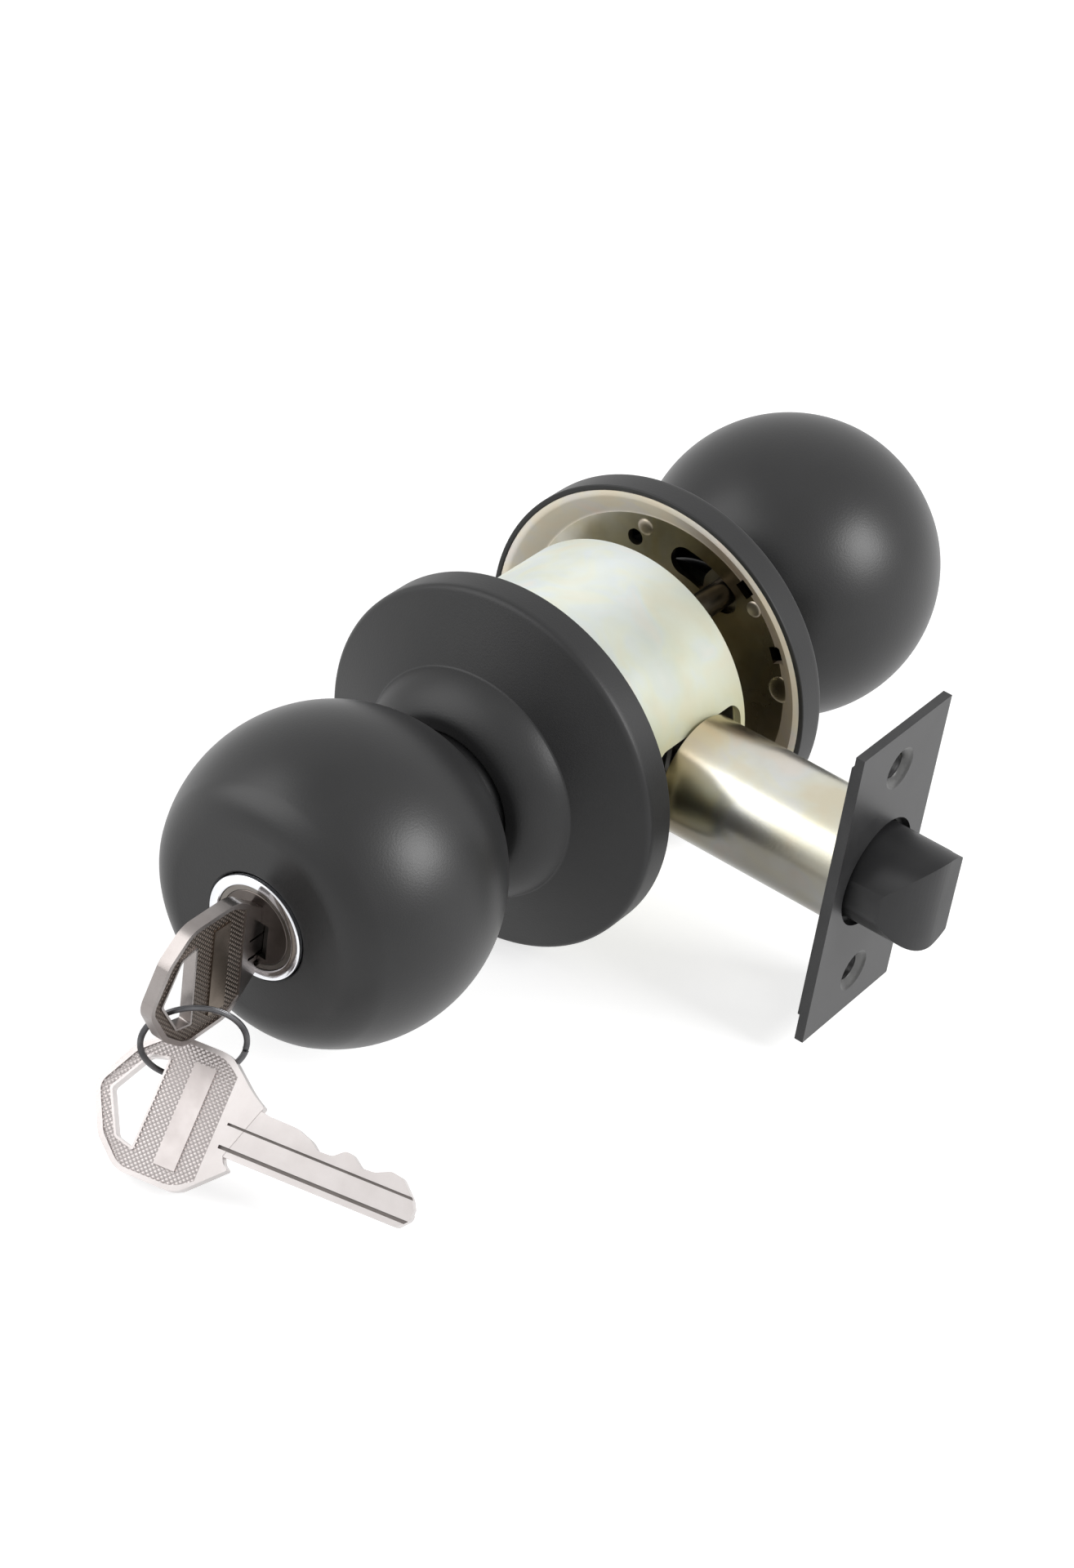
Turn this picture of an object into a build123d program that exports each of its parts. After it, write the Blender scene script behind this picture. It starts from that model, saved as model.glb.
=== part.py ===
from build123d import *
import math
import os

os.makedirs("parts", exist_ok=True)

# Frame: +Z up, Y along the spindle with the keyed side at -Y, the latch along +X.
# The origin is where the spindle axis meets the latch axis, in the middle of the door.

# Fit on the door
backset = 60.0
door_thickness = 38.0
rose_face = door_thickness / 2

# Clearances
running_gap = 0.05
slide_gap = 0.1
free_gap = 0.3
loose_gap = 0.4

# Knobs
knob_radius = 27.1
knob_cap = 18.4
knob_face_round = 8.0
knob_wall = 1.2
neck_radius = 12.2
neck_show = 2.7
neck_insert = 3.2
face_hole_radius = 9.05

# Roses
rose_radius = 32.4
rose_rim_depth = 4.7
rose_edge_drop = 1.3
rose_wall = 1.0
rose_hub_base_radius = 20.4
rose_hub_base = 29.6
rose_hub_top_radius = 14.6
rose_hub_top = 36.4
rose_hub_round = 10.88
rose_hole_radius = neck_radius + loose_gap

# Spindles, shanks and hubs
spindle_radius = 8.5
spindle_wall = 1.2
spindle_start = 3.0
collar_radius = 10.6
collar_start = 9.5
collar_width = 1.0
hub_radius = 15.0
hub_end = 30.0
hub_flange_start = 10.6
clip_width = 1.0
clip_reach = 2.0

# Chassis drum
drum_radius = 25.4
drum_wall = 1.2
drum_outside_end = 14.0
drum_inside_end = 12.2
window_half_width = 11.0
window_half_height = 9.0
window_round = 3.0

# Rollback cams and retractor
latch_travel = 12.0
knob_turn_deg = 60.0
cam_radius = latch_travel / (2 * math.sin(math.radians(knob_turn_deg / 2)))
cam_nose = 0.9
cam_width = 6.0
retractor_half_web = 2.6
retractor_half_width = 9.0
retractor_inner = spindle_radius + loose_gap
retractor_outer = 16.0
retractor_arm_outer = 13.0
retractor_back = -5.0
crossbar_front = 20.0
crossbar_depth = 2.0
spring_height = 11.6
retractor_spring_radius = 1.75
spring_bore_radius = 2.0
spring_seat = 3.0
guide_back = -18.5
guide_wall = 1.2
guide_front = 14.0
guide_half_height = 13.8

# Mounting plate and screws
plate_face = 22.0
plate_wall = 1.3
plate_rim_face = 19.2
plate_cone = 3.2
slot_inset = 0.9
slot_middle_deg = 70.0
slot_sweep_deg = 26.0
slot_width = 5.2
screw_angle_deg = 60.0
screw_radius = 2.4
screw_reach = 1.0
screw_head_radius = 4.2
screw_head_height = 2.6
square_hole = 2.6
square_hole_inset = 1.5
square_hole_degs = (28.0, 55.0)
round_hole_radius = 1.5
round_hole_deg = 110.0
round_hole_reach = 22.0

# Outside liner
liner_face = 20.2
liner_wall = 1.4

# Latch
faceplate_height = 57.0
faceplate_width = 25.4
faceplate_thickness = 1.6
faceplate_screw_spacing = 41.3
faceplate_screw_radius = 2.3
faceplate_sink_radius = 3.7
faceplate_sink_deg = 100.0
backing_height = 50.0
backing_width = 22.0
backing_thickness = 1.2
tube_radius = 10.5
tube_wall = 0.75
tube_back = 24.2
prong_reach = 4.0
prong_half_height = 4.0
rear_plate_thickness = 1.1
bolt_radius = 8.6
bolt_body_back = 52.5
bolt_flat = 4.6
bolt_land_edge = 1.5
bolt_nose_start = 1.0
bolt_nose_bulge = 4.2
bolt_hole_radius = 9.7
guide_ring_depth = 5.0
tail_half_thickness = 1.0
tail_half_height = 5.9
tail_slot_half_height = 3.2
tail_slot_length = 14.0
tail_head_half_height = 8.4
tail_head_depth = 3.0
tail_insert = 5.5
tail_pin_radius = 1.0
tail_pin_inset = 3.0
bolt_spring_radius = 1.2
bolt_spring_height = 7.3
spring_strip = 0.8
thin_spring_strip = 0.4
plunger_length = 15.5
plunger_throw = 9.5
plunger_spring_radius = 1.5

# Lock cylinder
plug_radius = 6.35
plug_proud = 0.3
cylinder_proud = 0.2
cylinder_nose_radius = 7.2
cylinder_nose_depth = 2.9
cylinder_radius = 8.2
chamber_half_width = 3.0
chamber_height = 14.4
cover_half_width = 2.0
cover_thickness = 0.8
trim_radius = 8.95
trim_proud = 0.6
trim_depth = 3.3
lip_round = 0.35
plug_boss_radius = 5.0
plug_boss_length = 2.0
plug_clip_radius = 6.8
plug_clip_width = 0.8
pin_radius = 1.4
pin_count = 5
first_pin = 6.0
pin_spacing = 4.0
shear_gap = 0.15
driver_length = 3.5
tailpiece_half_height = 1.6
tailpiece_half_thickness = 0.6
tailpiece_end = 12.5

# Core inside each knob
core_setback = 2.9
core_depth = 8.0
cup_radius = 16.2
cup_wall = 1.2

# Key
key_stop_proud = 0.4
key_thickness = 2.2
blade_thickness = 2.0
blade_length = 29.6
blade_height = 8.8
blade_bottom = -5.6
key_shoulder = 1.2
bow_length = 24.0
bow_half_height = 11.2
bow_drop = 1.0
bow_near_corner = 6.8
bow_far_corner = 16.0
bow_end_corner = 20.5
bow_end_half_height = 7.2
bow_point_half_height = 0.8
bow_round = 1.5
bow_rim = 0.8
window_near = 14.8
window_near_half = 7.2
window_corner = 17.8
window_corner_half = 6.4
window_far = 21.4
bow_window_round = 0.6
field_near = 4.4
field_depth = 0.3
panel_near = 7.1
panel_far = 10.7
panel_half_height = 8.2
groove_width = 1.0
groove_depth = 0.5
back_groove = 3.0
front_grooves = (1.2, 4.8)
tip_slope = 1.6
key_cuts = (
    (2.4, 8.8),
    (3.0, 8.2),
    (8.0, 8.1),
    (11.0, 7.1),
    (12.3, 6.1),
    (14.8, 6.2),
    (16.4, 7.6),
    (17.6, 7.6),
    (19.6, 6.2),
    (21.8, 6.3),
    (24.2, 7.4),
    (26.2, 7.1),
    (28.7, 4.8),
    (blade_length, 3.2),
    (blade_length, 1.8),
    (blade_length - tip_slope, 0),
)

# Key ring and spare key
ring_radius = 8.0
ring_wire = 0.5
ring_gap_deg = 3.0
ring_gap_at_deg = 60.0
ring_normal = (0.6785, -0.7214, -0.1386)
ring_drop = (0.178, 0.344, -0.922)
ring_hold = (-16.7, -5.0)
spare_ring_deg = -65.6
spare_hold = (-16.9, 4.2)
spare_normal = (0.1408, -0.6691, 0.7297)
spare_blade = (0.9759, 0.2179, 0.0114)

# Knob catches
catch_half_width = 1.5
catch_outer = 10.6
catch_base_outer = 6.8
catch_base_inner = 5.6
catch_base_half = 2.4
catch_spring_wall = 0.6
catch_spring_gap_deg = 56.0
catch_chamfer = 0.4
access_hole_radius = 1.2

# Turn button
button_radius = 6.4
button_proud = 0.9
button_depth = 2.6
button_stem_radius = 3.4
button_stem_length = 14.0
button_round = 0.8
thumb_length = 12.0
thumb_width = 3.2
thumb_height = 6.5
bushing_proud = 0.6
bushing_depth = 5.0
lock_bar_radius = 2.2
lock_bar_insert = 6.0
lock_lug_half = 6.2
lock_lug_half_thickness = 1.0
lock_lug_station = 9.0
lock_lug_width = 2.5
button_clip_radius = 5.0

# Values worked out from the ones above
knob_reach = rose_hub_top + neck_show + math.sqrt(knob_radius**2 - neck_radius**2)
knob_front = knob_reach + knob_cap
neck_start = rose_hub_top - neck_insert
core_start = rose_hub_top + neck_show + core_setback
core_end = core_start + core_depth
catch_station = rose_hub_top + catch_half_width
plug_front = knob_front + plug_proud
cylinder_front = knob_front + cylinder_proud
trim_front = knob_front + trim_proud
key_stop = knob_front + key_stop_proud
button_face = knob_front + button_proud
bushing_front = knob_front + bushing_proud
button_stem_end = button_face - button_depth - button_stem_length
lock_bar_end = button_stem_end + lock_bar_insert
spindle_bore = spindle_radius - spindle_wall
shank_bore = spindle_radius + running_gap
shank_radius = neck_radius - knob_wall
drum_bore = drum_radius - drum_wall
slot_radius = drum_bore - screw_radius - slot_inset
rose_bore = rose_radius - rose_wall
cam_rest_deg = knob_turn_deg / 2
cam_x = cam_radius * math.sin(math.radians(cam_rest_deg))
cam_z = cam_radius * math.cos(math.radians(cam_rest_deg))
shoulder_side = cam_x - cam_nose
shoulder_x = shoulder_side - free_gap
crossbar_back = crossbar_front - crossbar_depth
faceplate_back = backset - faceplate_thickness
tube_bore = tube_radius - tube_wall
bolt_tip = backset + latch_travel
key_middle = blade_bottom + blade_height / 2
screw_tip = hub_flange_start - screw_reach
cylinder_back = core_end
plate_floor_radius = rose_bore - plate_cone
square_hole_radius = plate_floor_radius - square_hole_inset
plug_boss_end = cylinder_back - plug_boss_length


def ring_section(inner_radius, outer_radius, start, end):
    """Half section of a ring about the spindle axis between two stations on Y."""
    with BuildSketch(Plane.XY) as section:
        with Locations(((inner_radius + outer_radius) / 2, (start + end) / 2)):
            Rectangle(outer_radius - inner_radius, abs(end - start))
    return section.sketch


def ball_section(inset, neck_reach):
    """Half section of the ball knob and its neck, moved inwards by the inset."""
    with BuildSketch(Plane.XY) as section:
        with Locations((0, -knob_reach)):
            Circle(knob_radius - inset)
        with Locations((0, -knob_front + inset)):
            Rectangle(2 * knob_radius, knob_radius, align=(Align.CENTER, Align.MAX), mode=Mode.SUBTRACT)
        fillet(section.vertices().group_by(Axis.Y)[0], radius=knob_face_round - inset)
        with Locations((0, -neck_reach)):
            Rectangle(
                2 * (neck_radius - inset),
                knob_reach - neck_reach,
                align=(Align.CENTER, Align.MAX),
            )
        with Locations((0, -knob_reach)):
            Rectangle(knob_radius, 4 * knob_radius, align=(Align.MIN, Align.CENTER), mode=Mode.INTERSECT)
    return section.sketch


def key_blank():
    """Key in its own frame: blade along +X from the shoulder, cuts up, thickness along Z."""
    floor = -blade_height / 2
    shoulder = blade_height / 2 + key_shoulder
    upper_bow = (
        (0, shoulder),
        (-bow_near_corner, bow_half_height - bow_drop),
        (-bow_far_corner, bow_half_height - bow_drop),
        (-bow_end_corner, bow_end_half_height - bow_drop),
        (-bow_length, bow_point_half_height - bow_drop),
    )
    lower_bow = (
        (-bow_length, -bow_point_half_height - bow_drop),
        (-bow_end_corner, -bow_end_half_height - bow_drop),
        (-bow_far_corner, -bow_half_height - bow_drop),
        (-bow_near_corner, -bow_half_height - bow_drop),
        (0, -shoulder),
    )
    window_points = (
        (-window_near, window_near_half - bow_drop),
        (-window_corner, window_corner_half - bow_drop),
        (-window_far, -bow_drop),
        (-window_corner, -window_corner_half - bow_drop),
        (-window_near, -window_near_half - bow_drop),
    )
    blade_points = [(-field_near, floor), (-field_near, floor + blade_height)]
    blade_points += [(reach, floor + height) for reach, height in key_cuts]
    with BuildSketch(Plane.XY) as bow:
        with BuildLine():
            Polyline(*upper_bow, *lower_bow, close=True)
        make_face()
        fillet(bow.vertices().sort_by(Axis.X)[:-2], radius=bow_round)
    with BuildSketch(Plane.XY) as window:
        with BuildLine():
            Polyline(*window_points, close=True)
        make_face()
        fillet(window.vertices(), radius=bow_window_round)
    with BuildSketch(Plane.XY) as field:
        offset(bow.sketch, amount=-bow_rim)
        offset(window.sketch, amount=bow_rim, mode=Mode.SUBTRACT)
        with Locations((-field_near, 0)):
            Rectangle(
                bow_length,
                4 * bow_half_height,
                align=(Align.MAX, Align.CENTER),
                mode=Mode.INTERSECT,
            )
        with Locations((-(panel_near + panel_far) / 2, -bow_drop)):
            Rectangle(panel_far - panel_near, 2 * panel_half_height, mode=Mode.SUBTRACT)
    with BuildPart() as blank:
        add(bow.sketch)
        extrude(amount=key_thickness / 2, both=True)
        with BuildSketch(Plane.XY):
            with BuildLine():
                Polyline(*blade_points, close=True)
            make_face()
        extrude(amount=blade_thickness / 2, both=True)
        add(window.sketch)
        extrude(amount=key_thickness, both=True, mode=Mode.SUBTRACT)
        for side in (1, -1):
            with BuildSketch(Plane.XY.offset(side * (key_thickness / 2 - field_depth))):
                add(field.sketch)
            extrude(amount=side * field_depth, mode=Mode.SUBTRACT)
            with BuildSketch(Plane.XY.offset(side * blade_thickness / 2)):
                for height in front_grooves if side > 0 else (back_groove,):
                    with Locations((-field_near / 2, floor + height)):
                        Rectangle(
                            blade_length + field_near, groove_width, align=(Align.MIN, Align.CENTER)
                        )
            extrude(amount=-side * groove_depth, mode=Mode.SUBTRACT)
    return blank.part


# Outside knob: a hollow ball with a flat face and a short neck
with BuildPart() as outside_knob:
    revolve(ball_section(0, neck_start), axis=Axis.Y)
    revolve(ball_section(knob_wall, neck_start - knob_wall), axis=Axis.Y, mode=Mode.SUBTRACT)
    with BuildSketch(Plane.XZ.offset(knob_front)):
        Circle(face_hole_radius)
    extrude(amount=-2 * knob_wall, mode=Mode.SUBTRACT)
    with BuildSketch(Plane.XY.offset(-neck_radius)):
        with Locations((0, -catch_station)):
            Circle(access_hole_radius)
    extrude(amount=2 * knob_wall, both=True, mode=Mode.SUBTRACT)
outside_knob.part.label = "outside_knob"
export_step(outside_knob.part, "parts/outside_knob.step")

with BuildPart() as inside_knob:
    mirror(outside_knob.part, about=Plane.XZ)
inside_knob.part.label = "inside_knob"
export_step(inside_knob.part, "parts/inside_knob.step")

# Shank: the tube that joins the knob to its spindle, slotted for the catch
with BuildPart() as outside_shank:
    revolve(ring_section(shank_bore, shank_radius, -neck_start, -core_start), axis=Axis.Y)
    with BuildSketch(Plane.XY.offset(-shank_radius)):
        with Locations((0, -catch_station)):
            Rectangle(2 * (catch_half_width + slide_gap), 2 * (catch_half_width + slide_gap))
    extrude(amount=shank_radius - spindle_bore, mode=Mode.SUBTRACT)
outside_shank.part.label = "outside_shank"
export_step(outside_shank.part, "parts/outside_shank.step")

with BuildPart() as inside_shank:
    mirror(outside_shank.part, about=Plane.XZ)
inside_shank.part.label = "inside_shank"
export_step(inside_shank.part, "parts/inside_shank.step")

# Core: the disc that grips the back of the ball, with a cup or a sleeve in front
with BuildPart() as outside_knob_core:
    with BuildSketch(Plane.XY) as core_disc:
        with Locations((0, -knob_reach)):
            Circle(knob_radius - knob_wall)
        with Locations((shank_bore, -core_start)):
            Rectangle(knob_radius, core_depth, align=(Align.MIN, Align.MAX), mode=Mode.INTERSECT)
    revolve(axis=Axis.Y)
    revolve(
        ring_section(cup_radius - cup_wall, cup_radius, -core_end, -knob_front + knob_wall),
        axis=Axis.Y,
    )
outside_knob_core.part.label = "outside_knob_core"
export_step(outside_knob_core.part, "parts/outside_knob_core.step")

with BuildPart() as inside_knob_core:
    with BuildSketch(Plane.XY) as inside_core_disc:
        with Locations((0, knob_reach)):
            Circle(knob_radius - knob_wall)
        with Locations((shank_bore, core_start)):
            Rectangle(knob_radius, core_depth, align=(Align.MIN, Align.MIN), mode=Mode.INTERSECT)
    revolve(axis=Axis.Y)
    revolve(
        ring_section(face_hole_radius, face_hole_radius + cup_wall, core_end, knob_front - knob_wall),
        axis=Axis.Y,
    )
inside_knob_core.part.label = "inside_knob_core"
export_step(inside_knob_core.part, "parts/inside_knob_core.step")

# Spindle: a tube with a collar and two rollback cams at its inner end
with BuildPart() as outside_spindle:
    revolve(ring_section(spindle_bore, spindle_radius, -spindle_start, -core_end), axis=Axis.Y)
    revolve(
        ring_section(spindle_bore, collar_radius, -collar_start, -collar_start - collar_width),
        axis=Axis.Y,
    )
    with BuildSketch(Plane.XZ.offset(spindle_start)) as cam_outline:
        with BuildLine():
            Polyline(
                (shoulder_side, cam_z),
                (shoulder_side, math.sqrt((spindle_radius - running_gap) ** 2 - shoulder_side**2)),
                (spindle_bore, math.sqrt(spindle_radius**2 - spindle_bore**2)),
                (cam_x + cam_nose, cam_z),
                close=True,
            )
        make_face()
        with Locations((cam_x, cam_z)):
            Circle(cam_nose)
        mirror(about=Plane.XZ)
    extrude(amount=cam_width)
    with BuildSketch(Plane.XY.offset(-spindle_radius)):
        with Locations((0, -catch_station)):
            Rectangle(2 * (catch_half_width + slide_gap), 2 * (catch_half_width + slide_gap))
    extrude(amount=spindle_radius / 2, mode=Mode.SUBTRACT)
outside_spindle.part.label = "outside_spindle"
export_step(outside_spindle.part, "parts/outside_spindle.step")

with BuildPart() as inside_spindle:
    mirror(outside_spindle.part, about=Plane.XZ)
inside_spindle.part.label = "inside_spindle"
export_step(inside_spindle.part, "parts/inside_spindle.step")

# Clips that hold each spindle in its hub
with BuildPart() as spindle_clips:
    for side in (1, -1):
        start = side * (hub_end + slide_gap)
        revolve(
            ring_section(spindle_radius, spindle_radius + clip_reach, start, start + side * clip_width),
            axis=Axis.Y,
        )
outside_clip = spindle_clips.part.solids().sort_by(Axis.Y)[0]
inside_clip = spindle_clips.part.solids().sort_by(Axis.Y)[-1]
for clip_name, clip in (("outside_spindle_clip", outside_clip), ("inside_spindle_clip", inside_clip)):
    clip.label = clip_name
    export_step(clip, "parts/" + clip_name + ".step")

# Knob catch: a lug on a small foot that pops out through spindle and shank
with BuildPart() as outside_catch:
    with BuildSketch(Plane.XY.offset(-catch_outer)):
        with Locations((0, -catch_station)):
            Rectangle(2 * catch_half_width, 2 * catch_half_width)
    extrude(amount=catch_outer - catch_base_inner)
    with BuildSketch(Plane.XY.offset(-catch_base_outer)):
        with Locations((0, -catch_station)):
            Rectangle(2 * catch_base_half, 2 * catch_half_width)
    extrude(amount=catch_base_outer - catch_base_inner)
    chamfer(outside_catch.faces().sort_by(Axis.Z)[0].edges(), length=catch_chamfer)
outside_catch.part.label = "outside_catch"
export_step(outside_catch.part, "parts/outside_catch.step")

with BuildPart() as inside_catch:
    mirror(outside_catch.part, about=Plane.XZ)
inside_catch.part.label = "inside_catch"
export_step(inside_catch.part, "parts/inside_catch.step")

# Catch spring: a C of strip inside the spindle that presses on the catch's foot
with BuildPart() as outside_catch_spring:
    with BuildSketch(Plane.XZ.offset(catch_station - catch_half_width)):
        Circle(spindle_bore - running_gap)
        Circle(spindle_bore - running_gap - catch_spring_wall, mode=Mode.SUBTRACT)
        with BuildLine():
            Polyline(
                (0, 0),
                (-spindle_radius * math.tan(math.radians(catch_spring_gap_deg / 2)), -spindle_radius),
                (spindle_radius * math.tan(math.radians(catch_spring_gap_deg / 2)), -spindle_radius),
                close=True,
            )
        make_face(mode=Mode.SUBTRACT)
    extrude(amount=2 * catch_half_width)
outside_catch_spring.part.label = "outside_catch_spring"
export_step(outside_catch_spring.part, "parts/outside_catch_spring.step")

with BuildPart() as inside_catch_spring:
    mirror(outside_catch_spring.part, about=Plane.XZ)
inside_catch_spring.part.label = "inside_catch_spring"
export_step(inside_catch_spring.part, "parts/inside_catch_spring.step")

# Rose: a pressed dome with an upright rim and a raised hub round the neck
with BuildPart() as outside_rose:
    with BuildSketch(Plane.XY):
        with BuildLine():
            rim = Line((rose_radius, -rose_face), (rose_radius, -rose_face - rose_rim_depth))
            edge = RadiusArc(
                rim @ 1,
                (rose_radius - rose_edge_drop, -rose_face - rose_rim_depth - rose_edge_drop),
                rose_edge_drop,
            )
            slope = Line(edge @ 1, (rose_hub_base_radius, -rose_hub_base))
            hub_arc = RadiusArc(
                slope @ 1,
                (rose_hub_top_radius, -rose_hub_top),
                rose_hub_round,
            )
            Line(hub_arc @ 1, (rose_hole_radius, -rose_hub_top))
            offset(amount=rose_wall, side=Side.RIGHT)
        make_face()
    revolve(axis=Axis.Y)
outside_rose.part.label = "outside_rose"
export_step(outside_rose.part, "parts/outside_rose.step")

with BuildPart() as inside_rose:
    mirror(outside_rose.part, about=Plane.XZ)
inside_rose.part.label = "inside_rose"
export_step(inside_rose.part, "parts/inside_rose.step")

# Liner: the threaded plate inside the outside rose
with BuildPart() as outside_rose_liner:
    revolve(
        ring_section(hub_radius + running_gap, rose_bore, -liner_face, -liner_face - liner_wall),
        axis=Axis.Y,
    )
outside_rose_liner.part.label = "outside_rose_liner"
export_step(outside_rose_liner.part, "parts/outside_rose_liner.step")

# Hubs: end discs of the drum with a bearing tube for each spindle
with BuildPart() as outside_hub:
    revolve(ring_section(shank_bore, drum_bore, -hub_flange_start, -drum_outside_end), axis=Axis.Y)
    revolve(ring_section(shank_bore, hub_radius, -drum_outside_end, -hub_end), axis=Axis.Y)
outside_hub.part.label = "outside_hub"
export_step(outside_hub.part, "parts/outside_hub.step")

screw_angles = (screw_angle_deg, screw_angle_deg + 180)
with BuildPart() as inside_hub:
    revolve(ring_section(shank_bore, drum_bore, hub_flange_start, drum_inside_end), axis=Axis.Y)
    revolve(ring_section(shank_bore, hub_radius, drum_inside_end, hub_end), axis=Axis.Y)
    with BuildSketch(Plane.XZ.offset(-drum_inside_end)):
        for angle in screw_angles:
            with Locations(Vector(slot_radius, 0).rotate(Axis.Z, angle)):
                Circle(screw_radius + running_gap)
    extrude(amount=drum_inside_end - hub_flange_start, mode=Mode.SUBTRACT)
inside_hub.part.label = "inside_hub"
export_step(inside_hub.part, "parts/inside_hub.step")

# Chassis drum: a tube with a window for the latch
with BuildPart() as chassis_drum:
    revolve(ring_section(drum_bore, drum_radius, -drum_outside_end, drum_inside_end), axis=Axis.Y)
    with BuildSketch(Plane.YZ):
        RectangleRounded(2 * window_half_width, 2 * window_half_height, window_round)
    extrude(amount=2 * drum_radius, mode=Mode.SUBTRACT)
chassis_drum.part.label = "chassis_drum"
export_step(chassis_drum.part, "parts/chassis_drum.step")

# Guide: the channel in the drum that the retractor runs in
with BuildPart() as retractor_guide:
    with BuildSketch(Plane.XY):
        with Locations((guide_back - guide_wall, 0)):
            Rectangle(
                guide_front - guide_back + guide_wall,
                2 * hub_flange_start,
                align=(Align.MIN, Align.CENTER),
            )
        with Locations((guide_back, 0)):
            Rectangle(
                guide_front - guide_back,
                2 * (hub_flange_start - guide_wall),
                align=(Align.MIN, Align.CENTER),
                mode=Mode.SUBTRACT,
            )
    extrude(amount=guide_half_height, both=True)
    with BuildSketch(Plane.XZ):
        Circle(collar_radius + loose_gap)
    extrude(amount=drum_radius, both=True, mode=Mode.SUBTRACT)
retractor_guide.part.label = "retractor_guide"
export_step(retractor_guide.part, "parts/retractor_guide.step")

# Retractor: two shoulder blocks for the cams, two arms and a crossbar for the latch tail
with BuildPart() as retractor:
    for side in (1, -1):
        with BuildSketch(Plane.XY.offset(side * retractor_inner)):
            with Locations((retractor_back, 0)):
                Rectangle(
                    shoulder_x - retractor_back,
                    2 * retractor_half_width,
                    align=(Align.MIN, Align.CENTER),
                )
        extrude(amount=side * (retractor_outer - retractor_inner))
        with BuildSketch(Plane.XY.offset(side * retractor_inner)):
            with Locations((retractor_back, 0)):
                Rectangle(
                    crossbar_front - retractor_back,
                    2 * retractor_half_web,
                    align=(Align.MIN, Align.CENTER),
                )
        extrude(amount=side * (retractor_arm_outer - retractor_inner))
    with BuildSketch(Plane.YZ.offset(crossbar_back)):
        Rectangle(2 * retractor_half_web, 2 * retractor_arm_outer)
        Rectangle(
            2 * (tail_half_thickness + free_gap),
            2 * (tail_half_height + free_gap),
            mode=Mode.SUBTRACT,
        )
    extrude(amount=crossbar_depth)
    with BuildSketch(Plane.YZ.offset(retractor_back)):
        with Locations((0, spring_height), (0, -spring_height)):
            Circle(spring_bore_radius)
    extrude(amount=spring_seat - retractor_back, mode=Mode.SUBTRACT)
retractor.part.label = "retractor"
export_step(retractor.part, "parts/retractor.step")

# Retractor springs, drawn as sleeves of the coil's size
with BuildPart() as retractor_springs:
    with BuildSketch(Plane.YZ.offset(guide_back)):
        with Locations((0, spring_height), (0, -spring_height)):
            Circle(retractor_spring_radius)
            Circle(retractor_spring_radius - spring_strip, mode=Mode.SUBTRACT)
    extrude(amount=spring_seat - guide_back)
retractor_springs.part.label = "retractor_springs"
export_step(retractor_springs.part, "parts/retractor_springs.step")

# Mounting plate: dished, with arc slots for the screws and small holes
with BuildPart() as mounting_plate:
    with BuildSketch(Plane.XY):
        with BuildLine():
            Polyline(
                (hub_radius + free_gap, plate_face),
                (plate_floor_radius, plate_face),
                (rose_bore - plate_wall, plate_rim_face),
                (rose_bore, plate_rim_face),
                (rose_bore, plate_rim_face + plate_wall),
                (plate_floor_radius + plate_wall, plate_face + plate_wall),
                (hub_radius + free_gap, plate_face + plate_wall),
                close=True,
            )
        make_face()
    revolve(axis=Axis.Y)
    with BuildSketch(Plane.XZ.offset(-plate_face - plate_wall)):
        for turn in (0, 180):
            with BuildLine():
                slot_line = CenterArc(
                    (0, 0), slot_radius, slot_middle_deg - slot_sweep_deg / 2 + turn, slot_sweep_deg
                )
            SlotArc(slot_line, slot_width)
            for angle in square_hole_degs:
                with Locations(Vector(square_hole_radius, 0).rotate(Axis.Z, angle + turn)):
                    Rectangle(square_hole, square_hole, rotation=angle + turn)
            with Locations(Vector(round_hole_reach, 0).rotate(Axis.Z, round_hole_deg + turn)):
                Circle(round_hole_radius)
    extrude(amount=2 * plate_wall, mode=Mode.SUBTRACT)
mounting_plate.part.label = "mounting_plate"
export_step(mounting_plate.part, "parts/mounting_plate.step")

# Mounting screws through the arc slots into the inside hub
with BuildPart() as mounting_screws:
    with BuildSketch(Plane.XZ.offset(-screw_tip)):
        for angle in screw_angles:
            with Locations(Vector(slot_radius, 0).rotate(Axis.Z, angle)):
                Circle(screw_radius)
    extrude(amount=screw_tip - plate_face - plate_wall)
    with BuildSketch(Plane.XZ.offset(-plate_face - plate_wall)):
        for angle in screw_angles:
            with Locations(Vector(slot_radius, 0).rotate(Axis.Z, angle)):
                Circle(screw_head_radius)
    extrude(amount=-screw_head_height)
    with BuildSketch(Plane.XZ.offset(-plate_face - plate_wall - screw_head_height)):
        for angle in screw_angles:
            with Locations(Vector(slot_radius, 0).rotate(Axis.Z, angle)):
                Rectangle(screw_head_radius, screw_head_radius / 4)
                Rectangle(screw_head_radius / 4, screw_head_radius)
    extrude(amount=screw_head_height / 2, mode=Mode.SUBTRACT)
mounting_screws.part.label = "mounting_screws"
export_step(mounting_screws.part, "parts/mounting_screws.step")

# Faceplate with countersunk holes and a round hole for the bolt
with BuildPart() as latch_faceplate:
    with BuildSketch(Plane.YZ.offset(faceplate_back)):
        Rectangle(faceplate_width, faceplate_height)
        Circle(bolt_hole_radius, mode=Mode.SUBTRACT)
    extrude(amount=faceplate_thickness)
    with Locations(Plane.YZ.offset(backset)):
        with GridLocations(1, faceplate_screw_spacing, 1, 2):
            CounterSinkHole(
                faceplate_screw_radius,
                faceplate_sink_radius,
                depth=faceplate_thickness,
                counter_sink_angle=faceplate_sink_deg,
            )
latch_faceplate.part.label = "latch_faceplate"
export_step(latch_faceplate.part, "parts/latch_faceplate.step")

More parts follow.
